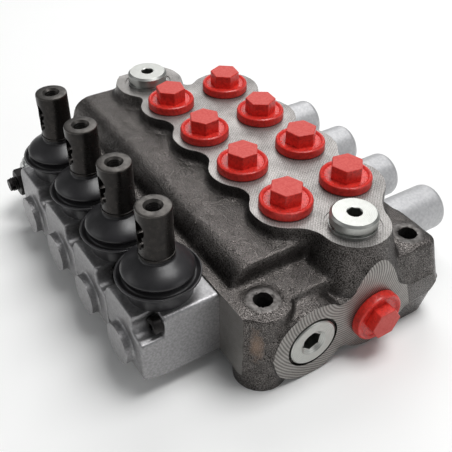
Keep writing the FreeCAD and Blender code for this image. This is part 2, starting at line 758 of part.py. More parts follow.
def build_centring_pack(number):
    """What centres a spool: two seats, a spring between them, and the bolt through all three."""
    place = {"x": section_x(number), "z": dim.axis_level}
    bolt, head, seat = 4, 6.5, 9.5
    hub = dim.spring_mean - dim.wire - 0.2
    inner = turned_part("inner_seat_%d" % number, [
        (SPRING_START - 1.5, bolt + 0.1),
        (SPRING_START - 1.5, seat),
        (SPRING_START, seat),
        (SPRING_START, hub),
        (SPRING_START + 2, hub),
        (SPRING_START + 2, bolt + 0.1),
    ], "Y", **place)
    outer = turned_part("outer_seat_%d" % number, [
        (SPRING_END + 1.5, bolt + 0.1),
        (SPRING_END + 1.5, seat),
        (SPRING_END, seat),
        (SPRING_END, hub),
        (SPRING_END - 2, hub),
        (SPRING_END - 2, bolt + 0.1),
    ], "Y", **place)
    shoulder = turned_part("spool_bolt_%d" % number, [
        (SPRING_START - 1.5, 0),
        (SPRING_START - 1.5, bolt),
        (SPRING_END + 1.5, bolt),
        (SPRING_END + 1.5, head),
        (SPRING_END + 6.5, head),
        (SPRING_END + 6.5, 0),
    ], "Y", **place)
    spring = coil_spring("centring_spring_%d" % number, dim.spring_mean, dim.wire, SPRING_START, SPRING_END,
                         5, (place["x"], 0, place["z"]))
    return [inner, outer, shoulder, spring]


def coil_spring(label, mean, wire, start, end, turns, place, turn=0):
    """A compression spring between two distances along Y, with flat end turns: a ruled loft through
    five-sided sections of its wire."""
    steps, sides, flat_turns = 9, 5, 0.5
    first, last = start.value + wire.value, end.value - wire.value
    sections = []
    for step in range(turns * steps + 1):
        wound = step / steps
        rise = min(max((wound - flat_turns) / (turns - 2 * flat_turns), 0), 1)
        angle = 2 * math.pi * wound
        outward = FreeCAD.Vector(math.cos(angle), 0, math.sin(angle))
        centre = outward * mean.value + FreeCAD.Vector(0, first + (last - first) * rise, 0)
        points = []
        for side in range(sides):
            roll = 2 * math.pi * side / sides
            lift = FreeCAD.Vector(0, wire.value * math.sin(roll), 0)
            points.append(centre + outward * wire.value * math.cos(roll) + lift)
        sections.append(Part.makePolygon(points + points[:1]))
    spring = document.addObject("Part::Feature", label)
    spring.Label = label
    spring.Shape = Part.makeLoft(sections, True, True)
    position = FreeCAD.Vector(*(as_size(size).value for size in place))
    spring.Placement = FreeCAD.Placement(position, FreeCAD.Rotation(FreeCAD.Vector(0, 0, 1), turn))
    return spring


def build_closure(label, x, y, turn):
    """A plastic closure of a work port: spigot, flange with a softened rim, and a tall hexagon."""
    flange, spigot = dim.flange_radius, dim.port_radius - 0.2
    rim, thickness, depth = 1.2, 4.5, 8
    plug = turned_part(label, [
        (-depth, 0),
        (-depth, spigot),
        (0, spigot),
        (0, flange - rim / 2),
        (rim / 2, flange),
        (thickness - rim, flange),
        (thickness, flange - rim),
        (thickness, 0),
    ], "Z", x=x, y=y, z=dim.deck_level, turn=turn)
    sketch = add_sketch(plug, "XY_Plane", along=thickness)
    hexagon(sketch, dim.closure_flats)
    pad(plug, sketch, dim.closure_height - thickness)
    return plug


def build_port_closures():
    """The closures of both rows of work ports, each screwed in to a turn of its own."""
    rows = []
    for name, side, turns in (("front", -1, (12, 47, 5, 33)), ("rear", 1, (25, 8, 52, 18))):
        label = name + "_port_plugs"
        plugs = [
            build_closure("%s_%d" % (label, number), section_x(number), side * dim.port_row, turn)
            for number, turn in zip(SECTIONS, turns)
        ]
        rows.append(group(label, plugs))
    return rows


def build_side_plug(label, side):
    """A plastic closure of a side port, on its side: spigot, flange and hexagon along X."""
    flange, spigot = dim.side_flange_radius, dim.side_port_radius - 0.2
    rim, thickness, depth = 1.2, 4.5, 10
    plug = turned_part(label, [
        (-depth, 0),
        (thickness, 0),
        (thickness, flange - rim),
        (thickness - rim, flange),
        (rim / 2, flange),
        (0, flange - rim / 2),
        (0, spigot),
        (-depth, spigot),
    ], "X", x=side * dim.end_face, y=dim.gallery_y, z=dim.axis_level, turn=90 * (1 - side))
    sketch = add_sketch(plug, "YZ_Plane", along=thickness)
    hexagon(sketch, dim.side_closure_flats, first=0)
    pad(plug, sketch, dim.side_closure_height - thickness)
    return plug


def build_upper_plug(label, x, y):
    """A steel plug of an upper port: shank, undercut, chamfered collar and hexagon socket."""
    collar, shank, height = dim.steel_plug_radius, UPPER_PORT - 0.1, 7
    washer, undercut, chamfer = 1.2, 1.2, 0.9
    plug = turned_part(label, [
        (-12, 0),
        (-12, shank),
        (washer, shank),
        (washer, collar - undercut),
        (washer + undercut, collar - undercut),
        (washer + undercut, collar),
        (height - chamfer, collar),
        (height, collar - chamfer),
        (height, 0),
    ], "Z", x=x, y=y, z=dim.deck_level)
    sketch = add_sketch(plug, "XY_Plane", along=height)
    hexagon(sketch, 6)
    pocket(plug, sketch, 5)
    ring = turned_part(label + "_washer", [
        (0, shank + 0.1),
        (0, collar + 0.1),
        (washer, collar + 0.1),
        (washer, shank + 0.1),
    ], "Z", x=x, y=y, z=dim.deck_level)
    return plug, ring


def build_upper_plugs():
    near, near_ring = build_upper_plug("near_top_plug", *NEAR_UPPER_PORT)
    far, far_ring = build_upper_plug("far_top_plug", *FAR_UPPER_PORT)
    return [near, far, group("top_plug_washers", [near_ring, far_ring])]


def build_check_valve():
    """The load check valve in the near end: plug, poppet and spring along X."""
    place = {"x": dim.end_face, "y": -dim.check_y, "z": dim.axis_level}
    plug = turned_part("check_plug", [
        (-13, 6.5),
        (-9, 6.5),
        (-9, 0),
        (0.4, 0),
        (0.4, 11.25),
        (-0.1, 11.75),
        (-3, 11.75),
        (-3, 9.4),
        (-13, 9.4),
    ], "X", **place)
    sketch = add_sketch(plug, "YZ_Plane", along=0.4)
    hexagon(sketch, 9)
    pocket(plug, sketch, 6.5)
    poppet = turned_part("check_poppet", [
        (-30, 0),
        (-18.2, 0),
        (-18.2, 5.9),
        (-27, 5.9),
        (-30, 3),
    ], "X", **place)
    spring = coil_spring("check_spring", as_size(4.5), as_size(0.6), as_size(-18.1), as_size(-9.1), 4,
                         (place["x"], place["y"], place["z"]), turn=-90)
    return [plug, poppet, spring]


def build_relief_valve():
    """The relief valve at the far end, along -Y: cartridge, poppet, spring, adjusting screw and lock nut."""
    place = {"x": -dim.relief_x, "z": dim.axis_level}
    face, nose = -dim.front_face, -42
    cartridge_end = face - 31.5
    bore, shank, collar, neck, thread = 5, 9.9, 12.8, 10.5, 3.9
    cartridge = turned_part("relief_cartridge", [
        (nose, bore),
        (nose, shank),
        (face, shank),
        (face, collar),
        (face - 3, collar),
        (face - 3, neck),
        (cartridge_end, neck),
        (cartridge_end, thread + 0.1),
        (cartridge_end + 5, thread + 0.1),
        (cartridge_end + 5, bore),
    ], "Y", **place)
    sketch = add_sketch(cartridge, "XZ_Plane", along=-face + 3)
    hexagon(sketch, dim.relief_flats)
    circle(sketch, 0, 0, neck - 1)
    pad(cartridge, sketch, 27)
    adjuster = turned_part("relief_adjuster", [
        (cartridge_end + 8, 0),
        (cartridge_end + 8, thread),
        (-dim.box_end - 3.2, thread),
        (-dim.box_end - 4, thread - 0.7),
        (-dim.box_end - 4, 0),
    ], "Y", **place)
    sketch = add_sketch(adjuster, "YZ_Plane")
    circle(sketch, -dim.box_end - 2.2, 0, 1)
    pocket(adjuster, sketch, 10, Midplane=True)
    nut = new_body("relief_lock_nut", **place)
    sketch = add_sketch(nut, "XZ_Plane", along=-cartridge_end)
    hexagon(sketch, 13)
    circle(sketch, 0, 0, thread + 0.05)
    pad(nut, sketch, 5.5)
    poppet = turned_part("relief_poppet", [
        (nose - 12, 0),
        (nose - 12, 4.9),
        (nose - 5, 4.9),
        (nose - 1, 2),
        (nose - 1, 0),
    ], "Y", **place)
    spring = coil_spring("relief_spring", as_size(3.6), as_size(0.8), cartridge_end + 8.1,
                         as_size(nose - 12.1), 8, (place["x"], 0, place["z"]))
    return [cartridge, adjuster, nut, poppet, spring]


def build_screw(label, x, y, z, length, toward, socket):
    """A small socket head screw along Y; its head lies on the side that `toward` names."""
    head, shank = dim.screw_head, dim.screw_shank
    top = toward * HEAD_HEIGHT
    screw = turned_part(label, [
        (-toward * length, 0),
        (-toward * length, shank),
        (0, shank),
        (0, head),
        (top, head),
        (top, 0),
    ], "Y", x=x, y=y, z=z)
    if socket:
        sketch = add_sketch(screw, "XZ_Plane", along=-top)
        hexagon(sketch, 4)
        pocket(screw, sketch, 3, Reversed=toward > 0)
    return screw


def build_screws():
    """Two screws to a lever box, in its grooves, and two to a spring cap, through its lugs."""
    middle = (dim.box_bottom + dim.box_top) / 2
    box_screws, cap_screws = [], []
    for number in SECTIONS:
        for side in (-1, 1):
            name = "%d_%s" % (number, "low" if side < 0 else "high")
            box_screws.append(build_screw("box_screw_" + name, section_x(number) + side * SCREW_X,
                                          -SCREW_SEAT, middle + side * SCREW_Z, 37, -1, True))
            cap_screws.append(build_screw("cap_screw_" + name, section_x(number) + side * LUG,
                                          dim.rear_face + 5, dim.axis_level - LUG, 13, 1, False))
    return [group("box_screws", box_screws), group("cap_screws", cap_screws)]


def build_seals():
    """The rings that seal both ends of each spool."""
    rings = []
    inner, outer, width = dim.spool_radius + 0.07, SEAL_POCKET - 0.05, 3.2
    for number in SECTIONS:
        for name, start in (("front", -dim.front_face + 0.2), ("rear", dim.rear_face - 12.4)):
            rings.append(turned_part("seal_%s_%d" % (name, number), [
                (start, inner),
                (start, outer),
                (start + width, outer),
                (start + width, inner),
            ], "Y", x=section_x(number), z=dim.axis_level))
    return group("spool_seals", rings)


sub_parts = [build_valve_body(), build_seals()]
sub_parts += build_port_closures()
sub_parts += [build_side_plug("near_side_plug", 1), build_side_plug("far_side_plug", -1)]
sub_parts += build_upper_plugs() + build_check_valve() + build_relief_valve() + build_screws()
for section in SECTIONS:
    for build in (build_spool, build_lever_box, build_lever, build_boot, build_pivot_pin, build_spring_cap):
        sub_parts.append(build(section))
    sub_parts += build_centring_pack(section)

document.recompute()
for item in document.Objects:
    if {"Invalid", "Error"} & set(item.State):
        raise RuntimeError("%s did not build" % item.Label)
for item in sub_parts:
    if item.Shape.isNull() or not item.Shape.isValid():
        raise RuntimeError("%s has no sound shape" % item.Label)

os.makedirs("parts", exist_ok=True)
for item in sub_parts:
    item.Shape.exportStep("parts/%s.step" % item.Label)
print("%d sub-parts written" % len(sub_parts))
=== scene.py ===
"""The looks of a four-section monoblock control valve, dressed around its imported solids.

Every sub-assembly is a class that shapes its pieces with mesh operators, in millimetres and in the
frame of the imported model, and then dresses them. Only a finished piece is turned into metres.
"""

from __future__ import annotations

import logging
import math
from dataclasses import dataclass
from enum import Enum, IntEnum
from functools import cache
from typing import Any, Callable, Iterable, Sequence

import bmesh
import bpy
from mathutils import Euler, Matrix, Vector, noise

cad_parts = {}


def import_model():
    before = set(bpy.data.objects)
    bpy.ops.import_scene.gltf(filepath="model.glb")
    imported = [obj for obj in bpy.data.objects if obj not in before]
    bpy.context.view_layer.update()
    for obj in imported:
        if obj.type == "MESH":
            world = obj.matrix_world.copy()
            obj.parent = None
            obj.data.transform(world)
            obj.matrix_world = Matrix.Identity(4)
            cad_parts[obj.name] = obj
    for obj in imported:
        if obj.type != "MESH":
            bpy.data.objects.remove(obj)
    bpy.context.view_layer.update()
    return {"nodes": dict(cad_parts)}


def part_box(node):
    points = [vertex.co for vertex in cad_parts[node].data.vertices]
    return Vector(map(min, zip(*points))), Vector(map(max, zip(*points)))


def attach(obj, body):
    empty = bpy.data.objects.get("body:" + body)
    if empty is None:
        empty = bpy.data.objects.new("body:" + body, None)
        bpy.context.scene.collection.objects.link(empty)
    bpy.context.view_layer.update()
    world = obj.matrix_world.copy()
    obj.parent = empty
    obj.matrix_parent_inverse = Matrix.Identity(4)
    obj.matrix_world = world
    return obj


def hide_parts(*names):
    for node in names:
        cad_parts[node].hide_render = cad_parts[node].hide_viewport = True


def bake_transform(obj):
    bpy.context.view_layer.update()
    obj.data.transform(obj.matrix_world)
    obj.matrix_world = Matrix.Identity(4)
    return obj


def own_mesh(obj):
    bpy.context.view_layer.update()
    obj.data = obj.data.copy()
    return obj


LOG = logging.getLogger("control_valve")
MM = 0.001
SHARP_ANGLE = math.radians(33)
SECTIONS = (1, 2, 3, 4)
UPPER_PLUGS = ("near_top_plug", "far_top_plug")

# Sizes that more than one sub-assembly needs, in millimetres.
DECK = 60.0
END = 97.0
FRONT = 62.5
REAR = 45.0
BORE_HEIGHT = 20.6
SPOTFACE_DEPTH = 0.4
CAP_LUG = 12.0

Point = tuple[float, float, float]
Corner = tuple[float, float]
Tree = bpy.types.NodeTree
Socket = bpy.types.NodeSocket
Face = bmesh.types.BMFace
Sockets = tuple[Socket, Socket]


class Way(Enum):
    """The directions that a turned piece's own axis can point in."""

    UP = (0.0, 0.0, 1.0)
    NEAR = (1.0, 0.0, 0.0)
    FAR = (-1.0, 0.0, 0.0)
    FRONT = (0.0, -1.0, 0.0)
    REAR = (0.0, 1.0, 0.0)

    def turn(self) -> Matrix:
        """The rotation that takes the upright axis to this direction."""
        return Vector((0.0, 0.0, 1.0)).rotation_difference(Vector(self.value)).to_matrix().to_4x4()


class Operation(Enum):
    """How one closed surface is combined with another."""

    CUT = "DIFFERENCE"
    JOIN = "UNION"
    COMMON = "INTERSECT"


# Materials


def linear(colour: str) -> tuple[float, float, float, float]:
    """Turn an sRGB hex colour to linear values.

    Args:
        colour: Six hex digits after a hash sign.

    Returns:
        Linear red, green and blue, and an alpha of 1.
    """
    channels = [int(colour[place:place + 2], 16) / 255 for place in (1, 3, 5)]
    red, green, blue = (
        value / 12.92 if value <= 0.04045 else ((value + 0.055) / 1.055) ** 2.4 for value in channels
    )
    return (red, green, blue, 1.0)


def add_node(
    tree: Tree, kind: str, inputs: dict[int | str, Any] | None = None, **settings: Any,
) -> bpy.types.Node:
    """Add one node, with its settings, values and links.

    Args:
        tree: The node tree that gets the node.
        kind: The node's type.
        inputs: A value, or an output socket to link, for each input by name or number.
        settings: The node's own properties.

    Returns:
        The new node.
    """
    made = tree.nodes.new(kind)
    for name, value in settings.items():
        setattr(made, name, value)
    for place, value in (inputs or {}).items():
        if isinstance(value, Socket):
            tree.links.new(value, made.inputs[place])
        else:
            made.inputs[place].default_value = value
    return made


def start_material(name: str) -> tuple[bpy.types.Material, Tree, bpy.types.Node]:
    """Make an empty material.

    Args:
        name: The material's name.

    Returns:
        The material, its node tree and its Principled shader.
    """
    material = bpy.data.materials.new(name)
    material.use_nodes = True
    tree = material.node_tree
    return material, tree, tree.nodes["Principled BSDF"]


def grain(size: float) -> float:
    """The scale, on Object coordinates, of a noise with features this many millimetres wide."""
    return 1 / (size * MM)


def ripple(spacing: float) -> float:
    """The scale, on Object coordinates, of a wave whose lines lie this many millimetres apart."""
    return 2 * math.pi / (20 * spacing * MM)


@dataclass(frozen=True)
class Finish:
    """A finish of two tones: the plain kind has soft clouds, fine grain, and a shine that follows them."""

    name: str
    dark: str
    light: str
    roughness: float
    metallic: float = 1.0
    shine_range: float = 0.06
    spread: tuple[float, float] = (0.36, 0.64)
    cloud_size: float = 3.0
    grain_size: float = 0.5
    relief: float = 0.02

    def patterns(self, tree: Tree, place: Socket) -> Sockets:
        """Add the textures that make this finish.

        Args:
            tree: The material's node tree.
            place: The Object coordinates.

        Returns:
            The pattern of the tones, and the pattern of the relief.
        """
        clouds = add_node(
            tree, "ShaderNodeTexNoise",
            {"Vector": place, "Scale": grain(self.cloud_size), "Detail": 4.0, "Roughness": 0.6},
        ).outputs["Fac"]
        grains = add_node(
            tree, "ShaderNodeTexNoise", {"Vector": place, "Scale": grain(self.grain_size), "Detail": 2.0},
        ).outputs["Fac"]
        return clouds, grains

    def colour(self, tree: Tree, place: Socket, tones: Socket) -> Socket:
        """Spread the two tones by their pattern.

        Args:
            tree: The material's node tree.
            place: The Object coordinates.
            tones: The pattern of the tones.

        Returns:
            The colour.
        """
        ramp = add_node(tree, "ShaderNodeValToRGB", {"Fac": tones})
        for element, position, tone in zip(ramp.color_ramp.elements, self.spread, (self.dark, self.light)):
            element.position = position
            element.color = linear(tone)
        return ramp.outputs["Color"]

    def material(self) -> bpy.types.Material:
        """Build the material.

        Returns:
            The material.
        """
        made, tree, shader = start_material(self.name)
        place = add_node(tree, "ShaderNodeTexCoord").outputs["Object"]
        tones, heights = self.patterns(tree, place)
        shine = add_node(
            tree, "ShaderNodeMapRange",
            {"Value": tones, "From Min": 0.3, "From Max": 0.7, "To Min": self.roughness + self.shine_range,
             "To Max": self.roughness - self.shine_range},
        ).outputs["Result"]
        bump = add_node(
            tree, "ShaderNodeBump", {"Height": heights, "Strength": 1.0, "Distance": self.relief * MM},
        ).outputs["Normal"]
        tree.links.new(self.colour(tree, place, tones), shader.inputs["Base Color"])
        tree.links.new(shine, shader.inputs["Roughness"])
        tree.links.new(bump, shader.inputs["Normal"])
        shader.inputs["Metallic"].default_value = self.metallic
        return made


@dataclass(frozen=True)
class SandCastIron(Finish):
    """Grey iron as it leaves the sand and the shot blast: dark, slightly brown, with glittering grains."""

    lump_size: float = 4.5
    lump_share: float = 0.14
    lump_relief: float = 0.5
    rust_colour: str = "#8a7464"
    rust_place: Point = (91.8, -58.3, 29.0)
    rust_stretch: Point = (1.0, 1.0, 2.6)
    rust_reach: float = 8.0
    rust_patch: float = 2.5
    rust_share: float = 0.8

    def patterns(self, tree: Tree, place: Socket) -> Sockets:
        """Mix the sand's grains with the lumps of the mould.

        Args:
            tree: The material's node tree.
            place: The Object coordinates.

        Returns:
            The pattern of the tones, and the pattern of the relief.
        """
        grains = add_node(
            tree, "ShaderNodeTexNoise",
            {"Vector": place, "Scale": grain(self.grain_size), "Detail": 3.0, "Roughness": 0.7},
        ).outputs["Fac"]
        lumps = add_node(
            tree, "ShaderNodeTexNoise",
            {"Vector": place, "Scale": grain(self.lump_size), "Detail": 4.0, "Roughness": 0.6},
        ).outputs["Fac"]
        tones = add_node(
            tree, "ShaderNodeMix", {"Factor": self.lump_share, "A": grains, "B": lumps}, data_type="FLOAT",
        ).outputs["Result"]
        heights = add_node(
            tree, "ShaderNodeMath", {0: lumps, 1: self.lump_relief, 2: grains}, operation="MULTIPLY_ADD",
        ).outputs["Value"]
        return tones, heights

    def colour(self, tree: Tree, place: Socket, tones: Socket) -> Socket:
        """Lay the patch of rust in the hollow beside the round ear over the two tones.

        Args:
            tree: The material's node tree.
            place: The Object coordinates.
            tones: The pattern of the tones.

        Returns:
            The colour.
        """
        iron = super().colour(tree, place, tones)
        moved = add_node(
            tree, "ShaderNodeMapping",
            {"Vector": place, "Location": Vector(self.rust_place) * MM, "Scale": self.rust_stretch},
            vector_type="TEXTURE",
        ).outputs["Vector"]
        away = add_node(tree, "ShaderNodeVectorMath", {0: moved}, operation="LENGTH").outputs["Value"]
        patchy = add_node(
            tree, "ShaderNodeTexNoise", {"Vector": place, "Scale": grain(self.rust_patch), "Detail": 3.0},
        ).outputs["Fac"]
        reach = add_node(
            tree, "ShaderNodeMath", {0: patchy, 1: self.rust_reach * MM}, operation="MULTIPLY",
        ).outputs["Value"]
        share = add_node(
            tree, "ShaderNodeMapRange",
            {"Value": away, "From Min": 0.0, "From Max": reach, "To Min": self.rust_share, "To Max": 0.0},
        ).outputs["Result"]
        return add_node(
            tree, "ShaderNodeMix", {"Factor": share, "A": iron, "B": linear(self.rust_colour)},
            data_type="RGBA",
        ).outputs["Result"]


@dataclass(frozen=True)
class TooledMetal(Finish):
    """A machined face, with the lines that the tool left round a centre."""

    centre: Point = (0.0, 0.0, 0.0)
    axis: str = "Z"
    # The lines are drawn wider apart than they are on the object where they would be too fine to show.
    spacing: float = 0.6
    wander: float = 0.5
    line_share: float = 0.5
    grain_share: float = 0.55

    def patterns(self, tree: Tree, place: Socket) -> Sockets:
        """Mix the tool's lines with the grain of the metal.

        Args:
            tree: The material's node tree.
            place: The Object coordinates.

        Returns:
            The pattern of the tones, and the pattern of the relief.
        """
        moved = add_node(
            tree, "ShaderNodeMapping", {"Vector": place, "Location": Vector(self.centre) * -MM},
        ).outputs["Vector"]
        lines = add_node(
            tree, "ShaderNodeTexWave",
            {"Vector": moved, "Scale": ripple(self.spacing), "Distortion": self.wander, "Detail": 2.0,
             "Detail Scale": 0.4},
            wave_type="RINGS", rings_direction=self.axis,
        ).outputs["Fac"]
        clouds, grains = super().patterns(tree, place)
        speckle = add_node(
            tree, "ShaderNodeMix", {"Factor": self.grain_share, "A": clouds, "B": grains}, data_type="FLOAT",
        ).outputs["Result"]
        mixed = add_node(
            tree, "ShaderNodeMix", {"Factor": self.line_share, "A": speckle, "B": lines}, data_type="FLOAT",
        ).outputs["Result"]
        return mixed, mixed


@dataclass(frozen=True)
class MouldedPlastic(Finish):
    """Injection-moulded polyethylene: a little waxy, with flow marks and light under its skin."""

    def patterns(self, tree: Tree, place: Socket) -> Sockets:
        """Make flow marks, which both the tones and the relief follow.

        Args:
            tree: The material's node tree.
            place: The Object coordinates.

        Returns:
            The pattern of the tones, and the pattern of the relief.
        """
        flow = add_node(
            tree, "ShaderNodeTexNoise",
            {"Vector": place, "Scale": grain(self.cloud_size), "Detail": 3.0, "Roughness": 0.55,
             "Distortion": 0.6},
        ).outputs["Fac"]
        return flow, flow


# Sand-cast grey iron, shot-blasted: dark and slightly brown, with grains that glitter one by one.
CAST_SKIN = SandCastIron(
    "sand_cast_grey_iron", "#191614", "#827d7a", 0.32, metallic=0.9, shine_range=0.16,
    spread=(0.41, 0.65), grain_size=0.5, relief=0.26,
)
# Grey iron scraped by a spotfacing cutter: flatter and a little lighter than the cast skin.
EAR_FACE = Finish(
    "scraped_grey_iron", "#4a4745", "#6b6866", 0.42, metallic=0.75, cloud_size=2.0, grain_size=0.6,
    relief=0.05,
)
# Ground grey iron: a pale, even satin. Its lines, 0.2 mm apart in truth, are drawn coarser to show.
GROUND_FACE = TooledMetal(
    "ground_grey_iron", "#605d5b", "#b3b0ad", 0.44, metallic=0.8, spread=(0.34, 0.66), cloud_size=14.0,
    grain_size=0.6, relief=0.06, centre=(260.0, 200.0, 60.0), spacing=1.1, wander=1.5, line_share=0.08,
)
# Fly-cut grey iron: light and dark arcs, as coarse as a worn cutter leaves them and 1.4 mm here.
MILLED_END = TooledMetal(
    "milled_grey_iron_ends", "#5f5c59", "#a3a09c", 0.42, metallic=0.85, spread=(0.25, 0.75),
    cloud_size=5.0, relief=0.08, centre=(0.0, -14.0, 44.0), axis="X", spacing=1.4, wander=2.6,
    line_share=0.4,
)
# Face-milled grey iron: the same cutter's nearly straight lines, drawn coarser than they are.
MILLED_SIDE = TooledMetal(
    "milled_grey_iron_sides", "#5f5c59", "#a3a09c", 0.42, metallic=0.85, spread=(0.25, 0.75),
    cloud_size=5.0, relief=0.07, centre=(500.0, 0.0, 60.0), axis="Y", spacing=0.8, wander=1.2,
    line_share=0.45,
)
# Injection-moulded polyethylene: a waxy red with faint flow marks.
RED_PLASTIC = MouldedPlastic(
    "moulded_red_polyethylene", "#b8201a", "#de352b", 0.33, metallic=0.0, spread=(0.3, 0.6),
    cloud_size=1.6, relief=0.16,
)
# The same polyethylene on the hexagons' tops: a paler red that is painted light on the upward face, matt and
# even.
RED_PAINTED_LIGHT_TOP = MouldedPlastic(
    "moulded_red_polyethylene_painted_light_top", "#c63b33", "#d04a41", 0.55, metallic=0.0, cloud_size=1.2, relief=0.03,
)
# Tumbled die-cast aluminium: a dull grey with a soft, even sheen.
BOX_METAL = Finish(
    "tumbled_die_cast_aluminium", "#8a898a", "#a09fa0", 0.44, metallic=0.85, shine_range=0.03,
    cloud_size=1.2, grain_size=0.5, relief=0.07,
)
# Die-cast aluminium turned and etched: brighter and whiter than the boxes.
CAP_METAL = Finish(
    "die_cast_aluminium_caps", "#b5b5b7", "#c6c6c7", 0.5, metallic=0.6, shine_range=0.02, cloud_size=1.5,
    grain_size=0.6, relief=0.05,
)
# Moulded nitrile rubber: nearly black, with the broad soft gloss of its mould.
RUBBER = Finish(
    "moulded_nitrile_rubber", "#1e1d1f", "#2b2a2c", 0.34, metallic=0.0, shine_range=0.05,
    cloud_size=6.0, relief=0.03,
)
# Black-oxide steel from the lathe: brown-black and oily.
BLACK_STEEL = Finish("black_oxide_steel", "#262423", "#312e2c", 0.3, metallic=0.8)
# The same oxide in a greyer tone, on the upward faces at the top of the socket.
TOP_FACE_BLACK_STEEL = Finish("black_oxide_steel_top_faces", "#3f3c3a", "#524f4c", 0.34, metallic=0.8)
# Phosphated steel of screws and nuts: nearly black, and duller than oxide.
DARK_STEEL = Finish("phosphated_steel", "#1d1b1b", "#2e2c2b", 0.45, metallic=0.8)
# Steel inside a hexagonal socket, painted darker than the face round it as shade in the recess.
SOCKET_PAINTED_SHADE_STEEL = Finish("socket_painted_shade_steel", "#565955", "#757872", 0.36, metallic=0.8)
# Hard-chromed, ground steel: pale and almost a mirror.
CHROMED_STEEL = Finish("hard_chromed_steel", "#c2c3c6", "#d5d6d8", 0.16)
# Zinc-plated steel: a cool grey with some shine.
ZINC_STEEL = Finish("zinc_plated_steel", "#9d9f9d", "#bfc0be", 0.3)
# Oiled drawn spring wire: a mid grey with a wet look.
DRAWN_WIRE = Finish("oiled_drawn_wire", "#6d6d72", "#8f8f93", 0.3)


def plated(node: str, centre: Point, axis: str) -> TooledMetal:
    """Bright zinc plating over steel from the lathe.

    Args:
        node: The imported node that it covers.
        centre: A point on the lathe's axis, in millimetres.
        axis: The direction of that axis.

    Returns:
        The finish.
    """
    return TooledMetal(
        f"zinc_plated_{node}", "#a6a7a3", "#bfc0bc", 0.4, cloud_size=2.5, relief=0.012,
        spread=(0.2, 0.7), centre=centre, axis=axis, spacing=0.7, line_share=0.3,
    )


@cache
def finish_material(finish: Finish) -> bpy.types.Material:
    """The material of a finish, made the first time that it is asked for."""
    return finish.material()


# Shapes


@dataclass(frozen=True)
class Plane:
    """A machined plane: a point on it, its outward normal and its finish's number."""

    point: Point
    normal: Point
    finish: int = 0

    def height(self, place: Vector) -> float:
        """How far a point lies outside the plane."""
        return (place - Vector(self.point)).dot(Vector(self.normal))


